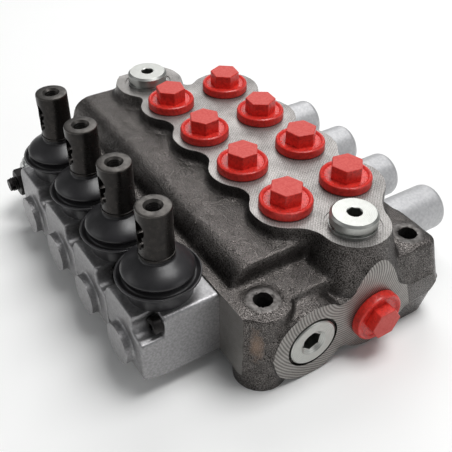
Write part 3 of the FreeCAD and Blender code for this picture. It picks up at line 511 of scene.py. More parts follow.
class Shape:
    """A closed surface in millimetres, shaped step by step before it becomes a piece."""

    def __init__(self) -> None:
        """Start with an empty surface."""
        self.bm = bmesh.new()

    @classmethod
    def turned(cls, corners: Sequence[Corner], steps: int = 96) -> Shape:
        """Turn a half outline once round the upright axis.

        Args:
            corners: Points (radius, height). The outline closes on itself unless it ends on the axis.
            steps: How many faces go round.

        Returns:
            The turned shape.
        """
        shape = cls()
        points = [shape.bm.verts.new((radius, 0.0, height)) for radius, height in corners]
        lines = [shape.bm.edges.new(pair) for pair in zip(points, points[1:])]
        if corners[0][0] or corners[-1][0]:
            lines.append(shape.bm.edges.new((points[-1], points[0])))
        bmesh.ops.spin(
            shape.bm, geom=points + lines, cent=(0, 0, 0), axis=(0, 0, 1), angle=2 * math.pi,
            steps=steps, use_merge=True,
        )
        bmesh.ops.remove_doubles(shape.bm, verts=shape.bm.verts, dist=1e-3)
        bmesh.ops.recalc_face_normals(shape.bm, faces=shape.bm.faces)
        return shape

    @classmethod
    def rod(cls, radius: float, low: float, high: float, steps: int = 48) -> Shape:
        """An upright rod between two heights, to cut a round hole with or to add as a round boss."""
        return cls.turned([(0, low), (radius, low), (radius, high), (0, high)], steps)

    @classmethod
    def prism(cls, across_flats: float, low: float, high: float, turn: float = 0.0) -> Shape:
        """An upright hexagonal prism.

        Args:
            across_flats: Width of the hexagon.
            low: Height of its underside.
            high: Height of its top.
            turn: Turn about the upright axis, in degrees.

        Returns:
            The prism.
        """
        shape = cls()
        radius = across_flats / math.sqrt(3)
        middle = Matrix.Translation((0, 0, (high + low) / 2))
        bmesh.ops.create_cone(
            shape.bm, cap_ends=True, segments=6, radius1=radius, radius2=radius, depth=high - low,
            matrix=middle @ Matrix.Rotation(math.radians(turn), 4, "Z"),
        )
        return shape

    @classmethod
    def node_copy(cls, node: bpy.types.Object) -> Shape:
        """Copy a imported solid.

        Args:
            node: The solid's object.

        Returns:
            Its surface, welded and in millimetres.
        """
        shape = cls()
        shape.bm.from_mesh(node.data)
        bmesh.ops.scale(shape.bm, vec=Vector((1, 1, 1)) / MM, verts=shape.bm.verts)
        bmesh.ops.remove_doubles(shape.bm, verts=shape.bm.verts, dist=2e-3)
        bmesh.ops.recalc_face_normals(shape.bm, faces=shape.bm.faces)
        return shape

    def moved(self, at: Sequence[float], way: Way = Way.UP) -> Shape:
        """Turn the upright axis to a direction, move the origin to a point, and give the shape back."""
        bmesh.ops.transform(self.bm, matrix=Matrix.Translation(at) @ way.turn(), verts=self.bm.verts)
        return self

    def bevelled(
        self,
        width: float,
        segments: int = 2,
        where: Callable[[bmesh.types.BMEdge], bool] = lambda edge: True,
        angle: float = 38.0,
    ) -> Shape:
        """Round the sharp edges.

        Args:
            width: How far a rounding reaches from its edge.
            segments: Faces across a rounding.
            where: Chooses among the sharp edges.
            angle: The least turn, in degrees, between the faces at a sharp edge.

        Returns:
            The shape itself.
        """
        sharp = [
            edge for edge in self.bm.edges
            if edge.is_manifold and edge.calc_face_angle(0) > math.radians(angle) and where(edge)
        ]
        bmesh.ops.bevel(
            self.bm, geom=sharp, offset=width, offset_type="OFFSET", segments=segments, profile=0.5,
            affect="EDGES", clamp_overlap=True, material=-1,
        )
        return self

    def add(self, *others: Shape) -> Shape:
        """Take in other shapes as separate solids.

        Args:
            others: The other shapes, which are used up.

        Returns:
            The shape itself.
        """
        for other in others:
            mesh = bpy.data.meshes.new("part")
            other.bm.to_mesh(mesh)
            self.bm.from_mesh(mesh)
            bpy.data.meshes.remove(mesh)
            other.bm.free()
        return self

    def combined(self, operation: Operation, *tools: Shape) -> Shape:
        """Cut with, join to or keep what is common with other closed shapes, one after the other.

        Args:
            operation: Which of the three.
            tools: The other shapes, which are used up.

        Returns:
            The shape itself.
        """
        target = temporary_object(self.bm)
        helpers = []
        for tool in tools:
            helper = temporary_object(tool.bm)
            modifier = target.modifiers.new("combine", "BOOLEAN")
            modifier.object = helper
            modifier.operation = operation.value
            modifier.solver = "EXACT"
            helpers.append(helper)
            tool.bm.free()
        self._take_evaluated(target)
        for helper in helpers:
            remove_object(helper)
        return self

    def extended(self, planes: Iterable[Plane], distance: float) -> Shape:
        """Move machined planes outwards, so that a skin's soft edges come to lie beyond them.

        Args:
            planes: The planes.
            distance: How far they move.

        Returns:
            The shape itself.
        """
        for plane in planes:
            faces = [
                face for face in self.bm.faces
                if all(abs(plane.height(vert.co)) < 0.01 for vert in face.verts)
            ]
            grown = bmesh.ops.extrude_face_region(self.bm, geom=faces)["geom"]
            verts = [item for item in grown if isinstance(item, bmesh.types.BMVert)]
            bmesh.ops.translate(self.bm, vec=Vector(plane.normal) * distance, verts=verts)
        return self

    def skinned(self, voxel: float, smoothing: int) -> Shape:
        """Lay one even skin round everything, which joins what overlaps, and soften its edges.

        Args:
            voxel: Width of the skin's faces.
            smoothing: How often the skin is smoothed.

        Returns:
            The shape itself.
        """
        target = temporary_object(self.bm)
        modifier = target.modifiers.new("skin", "REMESH")
        modifier.mode = "VOXEL"
        modifier.voxel_size = voxel
        self._take_evaluated(target)
        for _ in range(smoothing):
            bmesh.ops.smooth_vert(
                self.bm, verts=self.bm.verts, factor=0.5, use_axis_x=True, use_axis_y=True, use_axis_z=True,
            )
        return self

    def sliced(self, plane: Plane) -> Shape:
        """Cut the surface off at a plane and close it there.

        Args:
            plane: The plane.

        Returns:
            The shape itself.
        """
        bmesh.ops.bisect_plane(
            self.bm, geom=[*self.bm.verts, *self.bm.edges, *self.bm.faces], dist=1e-4,
            plane_co=plane.point, plane_no=plane.normal, clear_outer=True,
        )
        rim = [edge for edge in self.bm.edges if edge.is_boundary]
        filled = bmesh.ops.triangle_fill(
            self.bm, use_beauty=True, use_dissolve=False, edges=rim, normal=plane.normal,
        )["geom"]
        for item in filled:
            if isinstance(item, Face):
                item.material_index = plane.finish
                item.normal_update()
                if item.normal.dot(Vector(plane.normal)) < 0:
                    item.normal_flip()
        return self

    def _take_evaluated(self, target: bpy.types.Object) -> None:
        """Replace the surface by what an object's modifiers make of it, and remove the object.

        Args:
            target: The object.
        """
        bpy.context.view_layer.update()
        graph = bpy.context.evaluated_depsgraph_get()
        mesh = bpy.data.meshes.new_from_object(target.evaluated_get(graph))
        self.bm.free()
        self.bm = bmesh.new()
        self.bm.from_mesh(mesh)
        bpy.data.meshes.remove(mesh)
        remove_object(target)

    def painted(self, index: int, where: Callable[[Face], bool] = lambda face: True) -> Shape:
        """Give the chosen faces another of the piece's finishes.

        Args:
            index: The finish's number.
            where: Chooses the faces.

        Returns:
            The shape itself.
        """
        self.bm.normal_update()
        for face in self.bm.faces:
            if where(face):
                face.material_index = index
        return self


def linked(name: str, data: bpy.types.ID) -> bpy.types.Object:
    """Make an object and link it to the scene.

    Args:
        name: The object's name.
        data: Its mesh, light or camera.

    Returns:
        The object.
    """
    made = bpy.data.objects.new(name, data)
    bpy.context.scene.collection.objects.link(made)
    return made


def temporary_object(bm: bmesh.types.BMesh) -> bpy.types.Object:
    """Copy a surface to an object of the scene.

    Args:
        bm: The surface.

    Returns:
        The object.
    """
    mesh = bpy.data.meshes.new("temporary")
    bm.to_mesh(mesh)
    return linked("temporary", mesh)


def remove_object(thing: bpy.types.Object) -> None:
    """Delete an object and its mesh.

    Args:
        thing: The object.
    """
    mesh = thing.data
    bpy.data.objects.remove(thing)
    bpy.data.meshes.remove(mesh)


def finish_piece(
    name: str, shape: Shape, finishes: Sequence[Finish], node: str, body: str = "root",
    weighted: bool = True,
) -> bpy.types.Object:
    """Turn a shape into a finished piece of the object.

    Args:
        name: The piece's name.
        shape: Its surface in millimetres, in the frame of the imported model.
        finishes: Its finishes, in the order of the faces' material numbers.
        node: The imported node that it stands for.
        body: The body that it rides on, or nothing where it bends between two.
        weighted: Whether large flat faces keep their own shading beside small roundings.

    Returns:
        The new object.
    """
    for edge in shape.bm.edges:
        edge.smooth = not edge.is_manifold or edge.calc_face_angle(0) < SHARP_ANGLE
    for face in shape.bm.faces:
        face.smooth = True
    bmesh.ops.scale(shape.bm, vec=(MM, MM, MM), verts=shape.bm.verts)
    mesh = bpy.data.meshes.new(name)
    shape.bm.to_mesh(mesh)
    shape.bm.free()
    for finish in finishes:
        mesh.materials.append(finish_material(finish))
    piece = linked(name, mesh)
    if weighted:
        modifier = piece.modifiers.new("even_shading", "WEIGHTED_NORMAL")
        modifier.keep_sharp = True
    if body:
        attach(piece, body)
    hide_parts(node)
    LOG.info("%s: %d faces", name, len(mesh.polygons))
    return piece


def centre_of(node: str) -> Vector:
    """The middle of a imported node's box, in millimetres."""
    low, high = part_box(node)
    return (low + high) / (2 * MM)


def section_x(number: int) -> float:
    """Where a section lies across the valve, in millimetres."""
    return centre_of(f"spring_cap_{number}").x


# Sub-assemblies


class CastFace(IntEnum):
    """What the casting's faces are, by the number of their finish."""

    SKIN = 0
    GROUND = 1
    END = 2
    SIDE = 3
    EAR = 4


@dataclass
class Casting:
    """The iron block: a sand-cast skin with crisp machined planes."""

    node: bpy.types.Object
    deck: float = DECK
    parting: float = BORE_HEIGHT
    front: float = FRONT
    rear: float = REAR
    end: float = END
    ear_ring: float = 44.3
    ear_ring_depth: float = 0.45
    ear_hole: float = 4.25
    ear_boss: float = 7.4
    ear_slope: Point = (0.0, 1.0, 0.3)
    drill_edge: float = 0.07
    spool_bore: float = 8.0
    bore_reach: float = 70.0
    bore_error: float = 0.7
    check_y: float = -32.0
    check_counterbore: float = 13.05
    mill_limit: float = 23.0
    spotface: float = 12.9
    spotface_depth: float = SPOTFACE_DEPTH
    voxel: float = 1.08
    overshoot: float = 1.5
    smoothing: int = 4
    ears: tuple[Corner, ...] = ((83.0, -49.5), (83.0, 30.8), (-83.0, 30.8))
    # Width and height of each of the skin's waves, and then the flash along its parting line.
    waves: tuple[Corner, ...] = ((13.0, 0.22), (4.5, 0.1))
    flash_width: float = 0.9
    flash_height: float = 0.5
    flash_least: float = 0.7
    flash_wave: float = 2.2
    flash_slope: float = 0.4
    flash_from: Corner = (86.0, 36.0)

    def planes(self) -> list[Plane]:
        """List the machined planes.

        Returns:
            The base, the deck, the front, the rear and the two ends.
        """
        return [
            Plane((0, 0, 0), (0, 0, -1), CastFace.GROUND),
            Plane((0, 0, self.deck), (0, 0, 1), CastFace.GROUND),
            Plane((0, -self.front, 0), (0, -1, 0), CastFace.SIDE),
            Plane((0, self.rear, 0), (0, 1, 0), CastFace.SIDE),
            Plane((self.end, 0, 0), (1, 0, 0), CastFace.END),
            Plane((-self.end, 0, 0), (-1, 0, 0), CastFace.END),
        ]

    def weather(self, shape: Shape) -> None:
        """Give the skin the slight waves of a casting, and the flash along its parting line.

        Args:
            shape: The skin.
        """
        shape.bm.normal_update()
        for vert in shape.bm.verts:
            place, normal = vert.co, vert.normal
            wave = sum(noise.noise(place / width) * height for width, height in self.waves)
            outside = abs(place.x) > self.flash_from[0] or place.y > self.flash_from[1]
            level = abs(place.z - self.parting) < self.flash_width
            if outside and level and abs(normal.z) < self.flash_slope:
                wave += self.flash_height * (self.flash_least + noise.noise(place / self.flash_wave))
            vert.co = place + normal * wave

    def true_up(self, shape: Shape) -> None:
        """Make the round holes that show, or that pieces run in, truly round again.

        Args:
            shape: The skin.
        """
        bores = [(Vector((x, y, self.ear_ring)), Way.UP, self.ear_hole) for x, y in self.ears]
        bores += [
            (Vector((section_x(number), 0, self.parting)), Way.REAR, self.spool_bore) for number in SECTIONS
        ]
        bores.append((Vector((self.end, self.check_y, self.parting)), Way.NEAR, self.check_counterbore))
        for point, way, radius in bores:
            axis = Vector(way.value)
            for vert in shape.bm.verts:
                offset = vert.co - point
                across = offset - axis * offset.dot(axis)
                inside = abs(offset.dot(axis)) < self.bore_reach
                if inside and abs(across.length - radius) < self.bore_error:
                    vert.co += across.normalized() * (radius - across.length)

    def on_ring(self, face: Face) -> bool:
        """Tell whether a face belongs to the scraped top of a ring round a mounting hole.

        Args:
            face: The face.

        Returns:
            Whether it does.
        """
        place = face.calc_center_median()
        near = any((place.xy - Vector(ear)).length < self.ear_boss for ear in self.ears)
        return near and place.z > self.ear_ring - self.ear_ring_depth

    def keep_ear_cast(self, shape: Shape) -> None:
        """Leave the end of the near square ear as cast, beside the milled pad.

        Args:
            shape: The sliced skin.
        """
        faces = [face for face in shape.bm.faces if face.material_index == CastFace.END]
        edges = dict.fromkeys(edge for face in faces for edge in face.edges)
        verts = dict.fromkeys(vert for face in faces for vert in face.verts)
        corner, slope = Vector((0, self.mill_limit, self.parting)), Vector(self.ear_slope)
        bmesh.ops.bisect_plane(
            shape.bm, geom=[*verts, *edges, *faces], dist=1e-4, plane_co=corner, plane_no=slope,
        )
        limit = corner.dot(slope)
        shape.painted(CastFace.SKIN, lambda face: (
            face.material_index == CastFace.END and face.calc_center_median().dot(slope) > limit
        ))

    def build(self) -> None:
        """Shape the casting."""
        planes = self.planes()
        shape = Shape.node_copy(self.node).extended(planes, self.overshoot)
        shape.skinned(self.voxel, self.smoothing)
        self.weather(shape)
        self.true_up(shape)
        shape.painted(CastFace.SKIN)
        for plane in planes:
            shape.sliced(plane)
        self.keep_ear_cast(shape)
        shape.painted(CastFace.EAR, self.on_ring)
        # The drill takes a last sliver off the ears' holes, which leaves them crisp where the skin is soft.
        drilled = self.ear_hole + self.drill_edge
        cutters = [
            Shape.rod(drilled, -1, self.ear_ring + 2, 64).moved((x, y, 0)).painted(CastFace.EAR)
            for x, y in self.ears
        ]
        for node in UPPER_PLUGS:
            centre = centre_of(node)
            cutter = Shape.rod(self.spotface, self.deck - self.spotface_depth, self.deck + 1, 96)
            cutters.append(cutter.moved((centre.x, centre.y, 0)).painted(CastFace.GROUND))
        shape.combined(Operation.CUT, *cutters)
        finish_piece(
            "casting", shape, [CAST_SKIN, GROUND_FACE, MILLED_END, MILLED_SIDE, EAR_FACE], "valve_body",
            weighted=False,
        )


@dataclass
class PortClosure:
    """A red plastic closure: a stem in the port, a dished flange and a hexagon to turn it by."""

    flange: float = 12.3
    thickness: float = 4.5
    hexagon: float = 13.8
    height: float = 10.6
    stem: float = 7.4
    depth: float = 8.0
    rim: float = 2.0
    dish: float = 0.9
    pips: int = 28

    def shape(self, turn: float) -> Shape:
        """Shape one closure, standing upright on its port.

        Args:
            turn: Where its hexagon stopped, in degrees.

        Returns:
            Its surface, with the hexagon's top in the second finish, a paler red painted as light on it.
        """
        top, inner = self.thickness, self.flange - self.rim
        closure = Shape.turned([
            (0, -self.depth), (self.stem - 0.8, -self.depth), (self.stem, -self.depth + 1), (self.stem, 0),
            (self.flange - 0.5, 0), (self.flange, 0.5), (self.flange, top - 1.2),
            (self.flange - 0.3, top - 0.4), (self.flange - 0.9, top), (inner + 0.6, top - 0.1),
            (inner, top - 0.5), (inner - 0.3, top - self.dish), (0, top - self.dish),
        ])
        head = Shape.prism(self.hexagon, top - 2, self.height, turn).bevelled(0.5, 3, angle=30)
        closure.combined(Operation.JOIN, head)
        reach = inner - 0.8
        for bearing in range(self.pips):
            angle = 2 * math.pi * bearing / self.pips
            pip = Shape.turned([(0, -0.2), (0.36, -0.2), (0.32, 0.12), (0, 0.28)], 10)
            closure.add(pip.moved((reach * math.cos(angle), reach * math.sin(angle), top - self.dish)))
        # The hexagon's upward top gets a paler red: painted light.
        return closure.painted(
            1, lambda face: face.normal.z > 0.95 and face.calc_center_median().z > self.height - 0.3
        )


@dataclass
class Closures:
    """All the red closures: two rows on the deck and one at each end."""

    deck: float = DECK
    end: float = END
    front_turns: tuple[float, ...] = (17, 4, 56, 51)
    rear_turns: tuple[float, ...] = (21, 26, 44, 49)
    side_turn: float = 2

    def build(self) -> None:
        """Shape the closures."""
        plastic = [RED_PLASTIC, RED_PAINTED_LIGHT_TOP]
        work_port = PortClosure()
        for node, turns in (("front_port_plugs", self.front_turns), ("rear_port_plugs", self.rear_turns)):
            row = Shape()
            for number, turn in zip(SECTIONS, turns):
                row.add(work_port.shape(turn).moved((section_x(number), centre_of(node).y, self.deck)))
            finish_piece(f"{node}_moulded", row, plastic, node)
        side_port = PortClosure(flange=12.6, hexagon=14, height=9, stem=9.4, depth=10)
        for node, way in (("near_side_plug", Way.NEAR), ("far_side_plug", Way.FAR)):
            centre = centre_of(node)
            plug = side_port.shape(self.side_turn)
            plug.moved((self.end * way.value[0], centre.y, centre.z), way)
            finish_piece(f"{node}_moulded", plug, plastic, node)


@dataclass(frozen=True)
class PlugSocket:
    """The hexagonal socket of a plated plug. Below a little depth its inside is painted darker, as shade in
    the recess.
    """

    across_flats: float
    depth: float
    turn: float
    shade_start_depth: float
    edge: float = 0.15

    def cut(self, plug: Shape, top: float) -> Shape:
        """Cut the socket, break the plug's edges, and give the socket's inside its second finish, a painted
        shade.

        Args:
            plug: The plug, upright and with its axis at the origin.
            top: Height of its outer face.

        Returns:
            The plug.
        """
        plug.combined(Operation.CUT, Shape.prism(self.across_flats, top - self.depth, top + 1, self.turn))
        reach, level = self.across_flats / math.sqrt(3) + 0.05, top - self.shade_start_depth
        # Faces deep inside the socket take the second finish: painted shade.
        return plug.bevelled(self.edge, 2, angle=25).painted(1, lambda face: (
            (place := face.calc_center_median()).xy.length < reach
            and level - self.across_flats < place.z < level
        ))


@dataclass
class UpperPlugs:
    """The two bright steel plugs on the deck and the bonded washers under them."""

    deck: float = DECK
    spotface_depth: float = SPOTFACE_DEPTH
    washer: float = 10.8
    washer_top: float = 61.2
    neck: float = 9.5
    neck_top: float = 62.4
    collar: float = 10.7
    top: float = 67.0
    dimple: float = 0.35
    stem: float = 8.3
    depth: float = 12.0
    socket: PlugSocket = PlugSocket(across_flats=6.0, depth=5.0, turn=14, shade_start_depth=0.5)

    def plug(self) -> Shape:
        """Shape one plug.

        Returns:
            The plug, upright and with its axis at the origin.
        """
        body = Shape.turned([
            (0, self.deck - self.depth), (self.stem, self.deck - self.depth), (self.stem, self.washer_top),
            (self.neck, self.washer_top), (self.neck, self.neck_top), (self.collar, self.neck_top + 0.3),
            (self.collar, self.top - 1.1), (self.collar - 1.1, self.top),
            (self.socket.across_flats * 0.6, self.top),
            (self.socket.across_flats * 0.5, self.top - self.dimple), (0, self.top - self.dimple),
        ])
        return self.socket.cut(body, self.top)

    def build(self) -> None:
        """Shape the plugs and the washers."""
        washers = Shape()
        for node in UPPER_PLUGS:
            centre = centre_of(node)
            place = (centre.x, centre.y, 0)
            finish_piece(
                f"{node}_turned", self.plug().moved(place), [plated(node, place, "Z"), SOCKET_PAINTED_SHADE_STEEL], node,
            )
            low = self.deck - self.spotface_depth
            washers.add(Shape.turned([
                (self.stem + 0.1, low), (self.washer, low), (self.washer, self.washer_top),
                (self.stem + 0.1, self.washer_top),
            ]).bevelled(0.2).moved(place))
        finish_piece("top_plug_washers_bonded", washers, [ZINC_STEEL], "top_plug_washers")


@dataclass
class CheckPlug:
    """The sunk steel plug that closes the load check valve's cavity."""

    radius: float = 11.75
    head: float = 3.4
    countersink: float = 6.6
    countersink_depth: float = 1.5
    thread: float = 9.4
    pocket: float = 6.5
    pocket_depth: float = 4.0
    socket: PlugSocket = PlugSocket(across_flats=8.4, depth=6.5, turn=20, shade_start_depth=1.7)

    def build(self) -> None:
        """Shape the plug."""
        node = "check_plug"
        low, high = (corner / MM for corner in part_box(node))
        centre, start, face = centre_of(node), low.x, high.x
        body = Shape.turned([
            (0, start + self.pocket_depth), (self.pocket, start + self.pocket_depth), (self.pocket, start),
            (self.thread - 0.8, start), (self.thread, start + 0.8), (self.thread, face - self.head),
            (self.radius, face - self.head), (self.radius, face - 0.5), (self.radius - 0.5, face),
            (self.countersink, face), (self.socket.across_flats * 0.56, face - self.countersink_depth),
            (0, face - self.countersink_depth),
        ])
        place = (0, centre.y, centre.z)
        body = self.socket.cut(body, face).moved(place, Way.NEAR)
        finish_piece(f"{node}_turned", body, [plated(node, place, "X"), SOCKET_PAINTED_SHADE_STEEL], node)


@dataclass
class LeverUnit:
    """One section's hand lever with its box and its rubber boot."""

    number: int
    nodes: dict[str, bpy.types.Object]
    lever_y: float = -81.5
    axis: float = BORE_HEIGHT
    pivot: float = 38.6
    pin: float = 2.55
    box_high: float = 42.5
    mating_face: float = -FRONT
    boss_front: float = -103.8
    box_voxel: float = 0.55
    box_wave: Corner = (9.0, 0.06)
    ball: float = 4.0
    ball_steps: int = 12
    neck: float = 2.8
    stem: float = 5.5
    hub: float = 6.5
    hub_half: float = 7.6
    socket: float = 7.55
    foot: float = 7.9
    socket_low: float = 63.2
    socket_high: float = 86.5
    top_face_band: float = 1.1
    thread: float = 3.1
    thread_pitch: float = 1.25
    thread_depth: float = 0.55
    thread_turns: int = 10
    hole_end: float = 72.1
    side_holes: tuple[Corner, ...] = ((77.3, 3.7), (71.4, 3.0))
    boot_flat: float = 17.45
    boot_seam: float = 0.16
    boot_seam_half: float = 0.03
    boot_seam_bearing: float = 0.35
    boot_dome: Corner = (7.0, 12.0)
    boot_bends: Corner = (10.5, 18.4)

    def __post_init__(self) -> None:
        """Find where the section lies across the valve."""
        self.x = section_x(self.number)

    def build_box(self) -> None:
        """Shape the die-cast box, with soft cast edges and machined faces."""
        node = f"lever_box_{self.number}"
        planes = [Plane((0, self.mating_face, 0), (0, 1, 0)), Plane((0, self.boss_front, 0), (0, -1, 0))]
        shape = Shape.node_copy(self.nodes[node]).extended(planes, 1.0).skinned(self.box_voxel, 4)
        shape.bm.normal_update()
        width, height = self.box_wave
        for vert in shape.bm.verts:
            vert.co += vert.normal * noise.noise(vert.co / width) * height
        for plane in planes:
            shape.sliced(plane)
        finish_piece(f"{node}_cast", shape, [BOX_METAL], node, weighted=False)

    def lever(self) -> Shape:
        """Shape the lever: ball, neck, hub, stem, and a socket with a threaded hole.

        Returns:
            The lever, with its axis at the origin.
        """
        top, low, wide = self.socket_high, self.socket_low, self.socket
        sweep = math.pi - math.asin(self.neck / self.ball)
        angles = [sweep * step / self.ball_steps for step in range(self.ball_steps + 1)]
        corners = [
            (self.ball * math.sin(angle), self.axis - self.ball * math.cos(angle)) for angle in angles
        ]
        corners += [
            (self.neck, self.pivot - 2), (self.stem, self.pivot), (self.stem, low), (self.foot, low),
            (self.foot, low + 1), (wide, low + 1.1), (wide, top - 0.8), (wide - 0.2, top - 0.25),
            (wide - 0.9, top), (self.thread + 1, top),
        ]
        for turn in range(self.thread_turns):
            level = top - 1 - turn * self.thread_pitch
            corners += [(self.thread, level), (self.thread + self.thread_depth, level - 0.6)]
        corners += [(self.thread, self.hole_end + 0.8), (0, self.hole_end)]
        body = Shape.turned(corners, 80)
        pivot = (0, 0, self.pivot)
        hub = Shape.rod(self.hub, -self.hub_half, self.hub_half, 64)
        body.combined(Operation.JOIN, hub.moved(pivot, Way.NEAR))
        cutters = [Shape.rod(self.pin, -9, 9, 40).moved(pivot, Way.NEAR)]
        for level, radius in self.side_holes:
            cutters.append(Shape.turned([
                (0, 1.5), (radius, 1.5), (radius, wide - 0.9), (radius + 1.2, wide + 0.3), (0, wide + 0.3),
            ], 48).moved((0, 0, level), Way.FRONT))
        body.combined(Operation.CUT, *cutters)
        return body.bevelled(0.15, 2, angle=45)

    def build_lever(self) -> None:
        """Place the lever, with the upward faces at its top greyer than its side."""
        node = f"control_lever_{self.number}"
        # Upward faces near the top of the socket take the greyer tone.
        body = self.lever().painted(1, lambda face: (
            face.normal.z > 0.2 and face.calc_center_median().xy.length > self.thread + 0.1
            and face.calc_center_median().z > self.socket_high - self.top_face_band
        )).moved((self.x, self.lever_y, 0))
        finish_piece(
            f"{node}_turned", body, [BLACK_STEEL, TOP_FACE_BLACK_STEEL], node,
            f"lever_body_{self.number}",
        )

    def build_boot(self) -> None:
        """Shape the rubber boot: a cup with a flared rim, and in it a dome with a lip on the stem."""
        # Radius, and height above the box: up the outside of cup and dome, and down the inside.
        corners = [
            (13.7, 0), (14.4, 0), (14.7, 0.4), (15.1, 3.6), (15.7, 7.2), (16.6, 8.1), (18.0, 9.0),
            (18.55, 9.6), (18.4, 10.3), (17.8, 10.4), (17.2, 9.9), (16.7, 9.1), (15.7, 8.7), (14.8, 9.1),
            (14.55, 10.2), (14.8, 11.4), (15.5, 12.0), (15.95, 12.8), (15.5, 13.9), (14.1, 15.2),
            (12.0, 16.6), (9.9, 17.7), (8.6, 18.4), (7.6, 18.7), (7.35, 19.3), (7.6, 20.1), (7.2, 20.6),
            (5.8, 20.6), (5.7, 18.4), (7.2, 16.7), (11.5, 14.1), (13.9, 12.7), (13.5, 11.4), (13.45, 8.6),
            (13.6, 4.0),
        ]
        boot = Shape.turned(corners, 64)
        radius, level = self.boot_dome
        for vert in boot.bm.verts:
            off = math.remainder(math.atan2(vert.co.y, vert.co.x) - self.boot_seam_bearing, math.pi)
            if abs(off) < self.boot_seam_half and vert.co.z > level and vert.co.xy.length > radius:
                vert.co.z += self.boot_seam
            vert.co.x = min(max(vert.co.x, -self.boot_flat), self.boot_flat)
        boot.moved((self.x, self.lever_y, self.box_high))
        node = f"lever_boot_{self.number}"
        piece = finish_piece(f"{node}_moulded", boot, [RUBBER], node, "", weighted=False)
        smooth = piece.modifiers.new("smooth_rubber", "SUBSURF")
        smooth.levels = smooth.render_levels = 2
        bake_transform(piece)


@dataclass
class SpringCap:
    """The round cap over a spool's centring spring, with two lugs for its screws."""

    number: int
    face: float = REAR
    end: float = 80.0
    axis: float = BORE_HEIGHT
    radius: float = 12.1
    inner: float = 10.0
    wall: float = 3.0
    flange: float = 4.0
    lug: float = CAP_LUG
    lug_radius: float = 5.45
    hole: float = 2.65

    def build(self) -> None:
        """Shape the cap. Its own axis points to the rear, so that up on the object is its own +Y."""
        length = self.end - self.face
        body = Shape.turned([
            (self.inner, 0), (self.radius + 0.9, 0), (self.radius + 0.9, self.flange - 0.6),
            (self.radius + 0.3, self.flange), (self.radius, self.flange + 0.5), (self.radius, length - 2.9),
            (self.radius - 0.35, length - 1.5), (self.radius - 1.1, length - 0.45),
            (self.radius - 2.3, length), (0, length), (0, length - self.wall),
            (self.inner, length - self.wall),
        ], 112)
        places = [(side * self.lug, -self.lug, 0) for side in (-1, 1)]
        lugs = [Shape.rod(self.lug_radius, 0, self.flange + 1).moved(place) for place in places]
        holes = [Shape.rod(self.hole, -1, 9, 32).moved(place) for place in places]
        body.combined(Operation.JOIN, *lugs)
        body.combined(Operation.CUT, Shape.rod(self.inner, -1, length - self.wall, 96), *holes)
        body.bevelled(0.3, 2, angle=35)
        turn = Matrix.Rotation(math.radians(-90), 4, "X") @ Matrix.Scale(-1, 4, (0, 1, 0))
        bmesh.ops.transform(body.bm, matrix=turn, verts=body.bm.verts)
        bmesh.ops.recalc_face_normals(body.bm, faces=body.bm.faces)
        body.moved((section_x(self.number), self.face, self.axis))
        node = f"spring_cap_{self.number}"
        finish_piece(f"{node}_cast", body, [CAP_METAL], node)


@dataclass
class SocketScrew:
    """A socket-head screw of one length."""

    length: float
    head: float = 4.25
    height: float = 5.0
    recess: float = 4.0
    shank: float = 2.5

    def shape(self) -> Shape:
        """Shape the screw.

        Returns:
            The screw, its head upwards and its seat at height zero.
        """
        screw = Shape.turned([
            (0, -self.length), (self.shank - 0.4, -self.length), (self.shank, -self.length + 0.5),
            (self.shank, 0), (self.head, 0), (self.head, self.height - 0.5), (self.head - 0.5, self.height),
            (0, self.height),
        ], 48)
        screw.combined(Operation.CUT, Shape.prism(self.recess, self.height * 0.45, self.height + 1, 10))
        return screw.bevelled(0.12, 2, angle=35)


@dataclass
class Fasteners:
    """The screws that hold the lever boxes and the spring caps."""

    box_seat: float = -88.9
    box_reach: Corner = (13.3, 11.5)
    box_middle: float = 25.5
    cap_seat: float = 50.0
    lug: float = CAP_LUG
    axis: float = BORE_HEIGHT

    def build(self) -> None:
        """Shape both sets of screws."""
        fronts, rears = Shape(), Shape()
        long_screw = SocketScrew(length=36, head=3.85, height=4.3, recess=3.2)
        short_screw = SocketScrew(length=13)
        across, up = self.box_reach
        for number in SECTIONS:
            x = section_x(number)
            for side in (-1, 1):
                place = (x + side * across, self.box_seat, self.box_middle + side * up)
                fronts.add(long_screw.shape().moved(place, Way.FRONT))
                place = (x + side * self.lug, self.cap_seat, self.axis - self.lug)
                rears.add(short_screw.shape().moved(place, Way.REAR))
        finish_piece("box_screws_black", fronts, [DARK_STEEL], "box_screws")
        finish_piece("cap_screws_plated", rears, [ZINC_STEEL], "cap_screws")


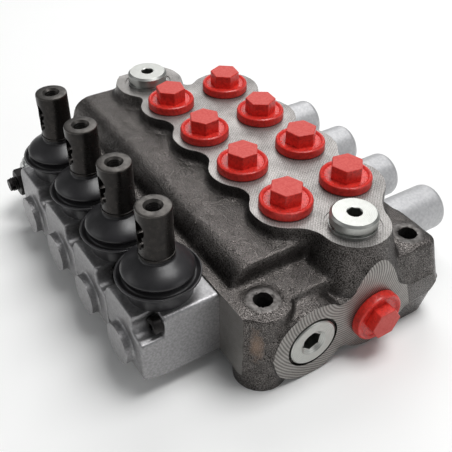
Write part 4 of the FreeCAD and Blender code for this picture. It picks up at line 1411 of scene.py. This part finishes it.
@dataclass
class ReliefValve:
    """The pressure relief valve that is screwed into the front of the far end."""

    place: Point = (-84.0, -FRONT, BORE_HEIGHT)
    nose: float = -20.5
    shank: float = 9.9
    collar: float = 12.8
    collar_top: float = 3.0
    neck: float = 10.5
    flats: float = 21.5
    hexagon_top: float = 30.0
    end: float = 31.5
    bore: float = 5.0
    nut_flats: float = 13.0
    nut_top: float = 37.0
    thread: float = 3.9
    thread_turns: int = 16
    tip: float = 41.5
    cross_hole: float = 39.7

    def hexagon(self, across_flats: float, low: float, high: float, chamfer: float) -> Shape:
        """Shape a hexagon with turned corners.

        Args:
            across_flats: Its width.
            low: Height of its underside.
            high: Height of its top.
            chamfer: How far its corners are turned down at both ends.

        Returns:
            The hexagon.
        """
        reach = across_flats / math.sqrt(3)
        limit = Shape.turned([
            (0, low), (reach - 1.2 * chamfer, low), (reach, low + chamfer), (reach, high - chamfer),
            (reach - 1.2 * chamfer, high), (0, high),
        ])
        return Shape.prism(across_flats, low, high, 30).combined(Operation.COMMON, limit)

    def cartridge(self) -> Shape:
        """Shape the cartridge.

        Returns:
            The cartridge, upright and with its axis at the origin.
        """
        body = Shape.turned([
            (0, self.nose), (self.shank - 0.7, self.nose), (self.shank, self.nose + 0.8), (self.shank, 0),
            (self.collar, 0), (self.collar, self.collar_top), (self.neck, self.collar_top),
            (self.neck, self.end - 0.8), (self.neck - 0.9, self.end), (0, self.end),
        ])
        body.combined(Operation.JOIN, self.hexagon(self.flats, self.collar_top + 0.2, self.hexagon_top, 0.9))
        body.combined(Operation.CUT, Shape.turned([
            (0, self.nose - 1), (self.bore, self.nose - 1), (self.bore, self.end - 5),
            (self.thread + 0.1, self.end - 5), (self.thread + 0.1, self.end + 1), (0, self.end + 1),
        ], 64))
        return body.bevelled(0.2, 2, angle=30)

    def adjuster(self) -> Shape:
        """Shape the adjusting screw.

        Returns:
            The screw, upright and with its axis at the origin.
        """
        thread = []
        for turn in range(self.thread_turns):
            level = self.end - 7 + turn
            thread += [(self.thread, level), (self.thread - 0.45, level + 0.5)]
        root, foot = self.thread - 0.6, self.end - 8
        body = Shape.turned([(0, foot), (root, foot), *thread, (root, self.tip), (0, self.tip)], 64)
        hole = Shape.rod(1.0, -5, 5, 24).moved((0, 0, self.cross_hole), Way.NEAR)
        return body.combined(Operation.CUT, hole)

    def build(self) -> None:
        """Shape the cartridge, its lock nut and its adjusting screw."""
        nut = self.hexagon(self.nut_flats, self.end, self.nut_top, 0.6)
        nut.combined(Operation.CUT, Shape.rod(self.thread + 0.05, self.end - 1, self.nut_top + 1))
        pieces = (
            ("relief_cartridge", "turned", self.cartridge(), ZINC_STEEL, "bright_steel"),
            ("relief_lock_nut", "blackened", nut.bevelled(0.15, 2, angle=30), DARK_STEEL, "bright_steel"),
            ("relief_adjuster", "threaded", self.adjuster(), DARK_STEEL, "black_steel"),
        )
        for node, how, shape, finish, slot in pieces:
            finish_piece(f"{node}_{how}", shape.moved(self.place, Way.FRONT), [finish], node)


@dataclass
class InnerParts:
    """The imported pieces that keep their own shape: spools, springs, seats, pins and poppets."""

    nodes: dict[str, bpy.types.Object]
    check_lift: float = 3.0
    relief_lift: float = 2.0

    def dress(self) -> None:
        """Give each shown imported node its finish, which is plated steel where the list has no other."""
        finishes = {
            "spool_bolt": ZINC_STEEL,
            "spool_seals": RUBBER,
            "spool": CHROMED_STEEL,
            "centring_spring": DRAWN_WIRE,
            "check_spring": DRAWN_WIRE,
            "relief_spring": DRAWN_WIRE,
            "pivot_pin": CHROMED_STEEL,
            "check_poppet": CHROMED_STEEL,
            "relief_poppet": CHROMED_STEEL,
        }
        for name, node in self.nodes.items():
            if node.hide_render:
                continue
            finish = next((made for start, made in finishes.items() if name.startswith(start)), ZINC_STEEL)
            node.data.materials.clear()
            node.data.materials.append(finish_material(finish))
            LOG.info("%s keeps its packed shape", name)
        self.shorten("check_spring")
        self.shorten("relief_spring")

    def shorten(self, spring: str) -> None:
        """Give a spring its own copy of its mesh.

        Args:
            spring: The spring's node.
        """
        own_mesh(self.nodes[spring])


@dataclass(frozen=True)
class Softbox:
    """A soft square light: where it hangs and what it is turned to in metres, its width and its watts."""

    name: str
    place: Point
    target: Point
    size: float
    power: float

    def hang(self) -> None:
        """Hang the light in the scene."""
        data = bpy.data.lights.new(self.name, "AREA")
        data.shape, data.size, data.energy = "SQUARE", self.size, self.power
        light = linked(self.name, data)
        light.location = self.place
        light.rotation_euler = (Vector(self.target) - Vector(self.place)).to_track_quat("-Z", "Y").to_euler()


@dataclass
class Studio:
    """Floor, soft lights and the camera at the photograph's viewing angle, in metres."""

    camera_place: Point = (0.2539, -0.1753, 0.2561)
    azimuth: float = 57.77
    elevation: float = 39.24
    lens: float = 57.57
    sensor: float = 36.0
    floor_half: float = 6.0
    floor_colour: str = "#fbfbfa"
    world_colour: str = "#eef0f2"
    world_strength: float = 0.24
    softboxes: tuple[Softbox, ...] = (
        Softbox("softbox_behind", (-0.95, 0.65, 1.15), (0.0, 0.0, 0.03), 0.9, 8.2),
        Softbox("softbox_overhead", (0.12, 0.3, 1.25), (0.0, 0.0, 0.0), 0.6, 11.0),
        Softbox("softbox_right", (1.15, 0.65, 0.5), (0.0, 0.0, 0.03), 0.7, 1.7),
        Softbox("softbox_levers", (-0.45, -1.1, 0.55), (0.0, -0.05, 0.03), 0.7, 1.6),
    )

    def build(self) -> None:
        """Make the floor, the lights, the world and the camera."""
        scene = bpy.context.scene
        data = bpy.data.cameras.new("camera")
        data.lens, data.sensor_width = self.lens, self.sensor
        data.clip_start, data.clip_end = 0.01, 50.0
        camera = linked("camera", data)
        camera.location = self.camera_place
        camera.rotation_euler = Euler((math.radians(90 - self.elevation), 0.0, math.radians(self.azimuth)))
        scene.camera = camera
        self.floor()
        for softbox in self.softboxes:
            softbox.hang()
        world = bpy.data.worlds.new("soft_room")
        world.use_nodes = True
        background = world.node_tree.nodes["Background"]
        background.inputs["Color"].default_value = linear(self.world_colour)
        background.inputs["Strength"].default_value = self.world_strength
        scene.world = world
        scene.view_settings.view_transform = "Standard"

    def floor(self) -> None:
        """Lay the plain pale floor, which isn't part of the object."""
        bm = bmesh.new()
        bmesh.ops.create_grid(bm, x_segments=1, y_segments=1, size=self.floor_half)
        mesh = bpy.data.meshes.new("floor")
        bm.to_mesh(mesh)
        bm.free()
        material, _, shader = start_material("pale_studio_paper")
        shader.inputs["Base Color"].default_value = linear(self.floor_colour)
        shader.inputs["Roughness"].default_value = 0.8
        mesh.materials.append(material)
        floor = linked("floor", mesh)


def main() -> None:
    """Build the sub-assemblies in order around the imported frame."""
    logging.basicConfig(level=logging.INFO, format="%(message)s")
    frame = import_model()
    nodes = frame["nodes"]
    Studio().build()
    Casting(nodes["valve_body"]).build()
    Closures().build()
    UpperPlugs().build()
    CheckPlug().build()
    for number in SECTIONS:
        unit = LeverUnit(number, nodes)
        unit.build_box()
        unit.build_lever()
        unit.build_boot()
        SpringCap(number).build()
    Fasteners().build()
    ReliefValve().build()
    InnerParts(nodes).dress()


if __name__ == "__main__":
    main()
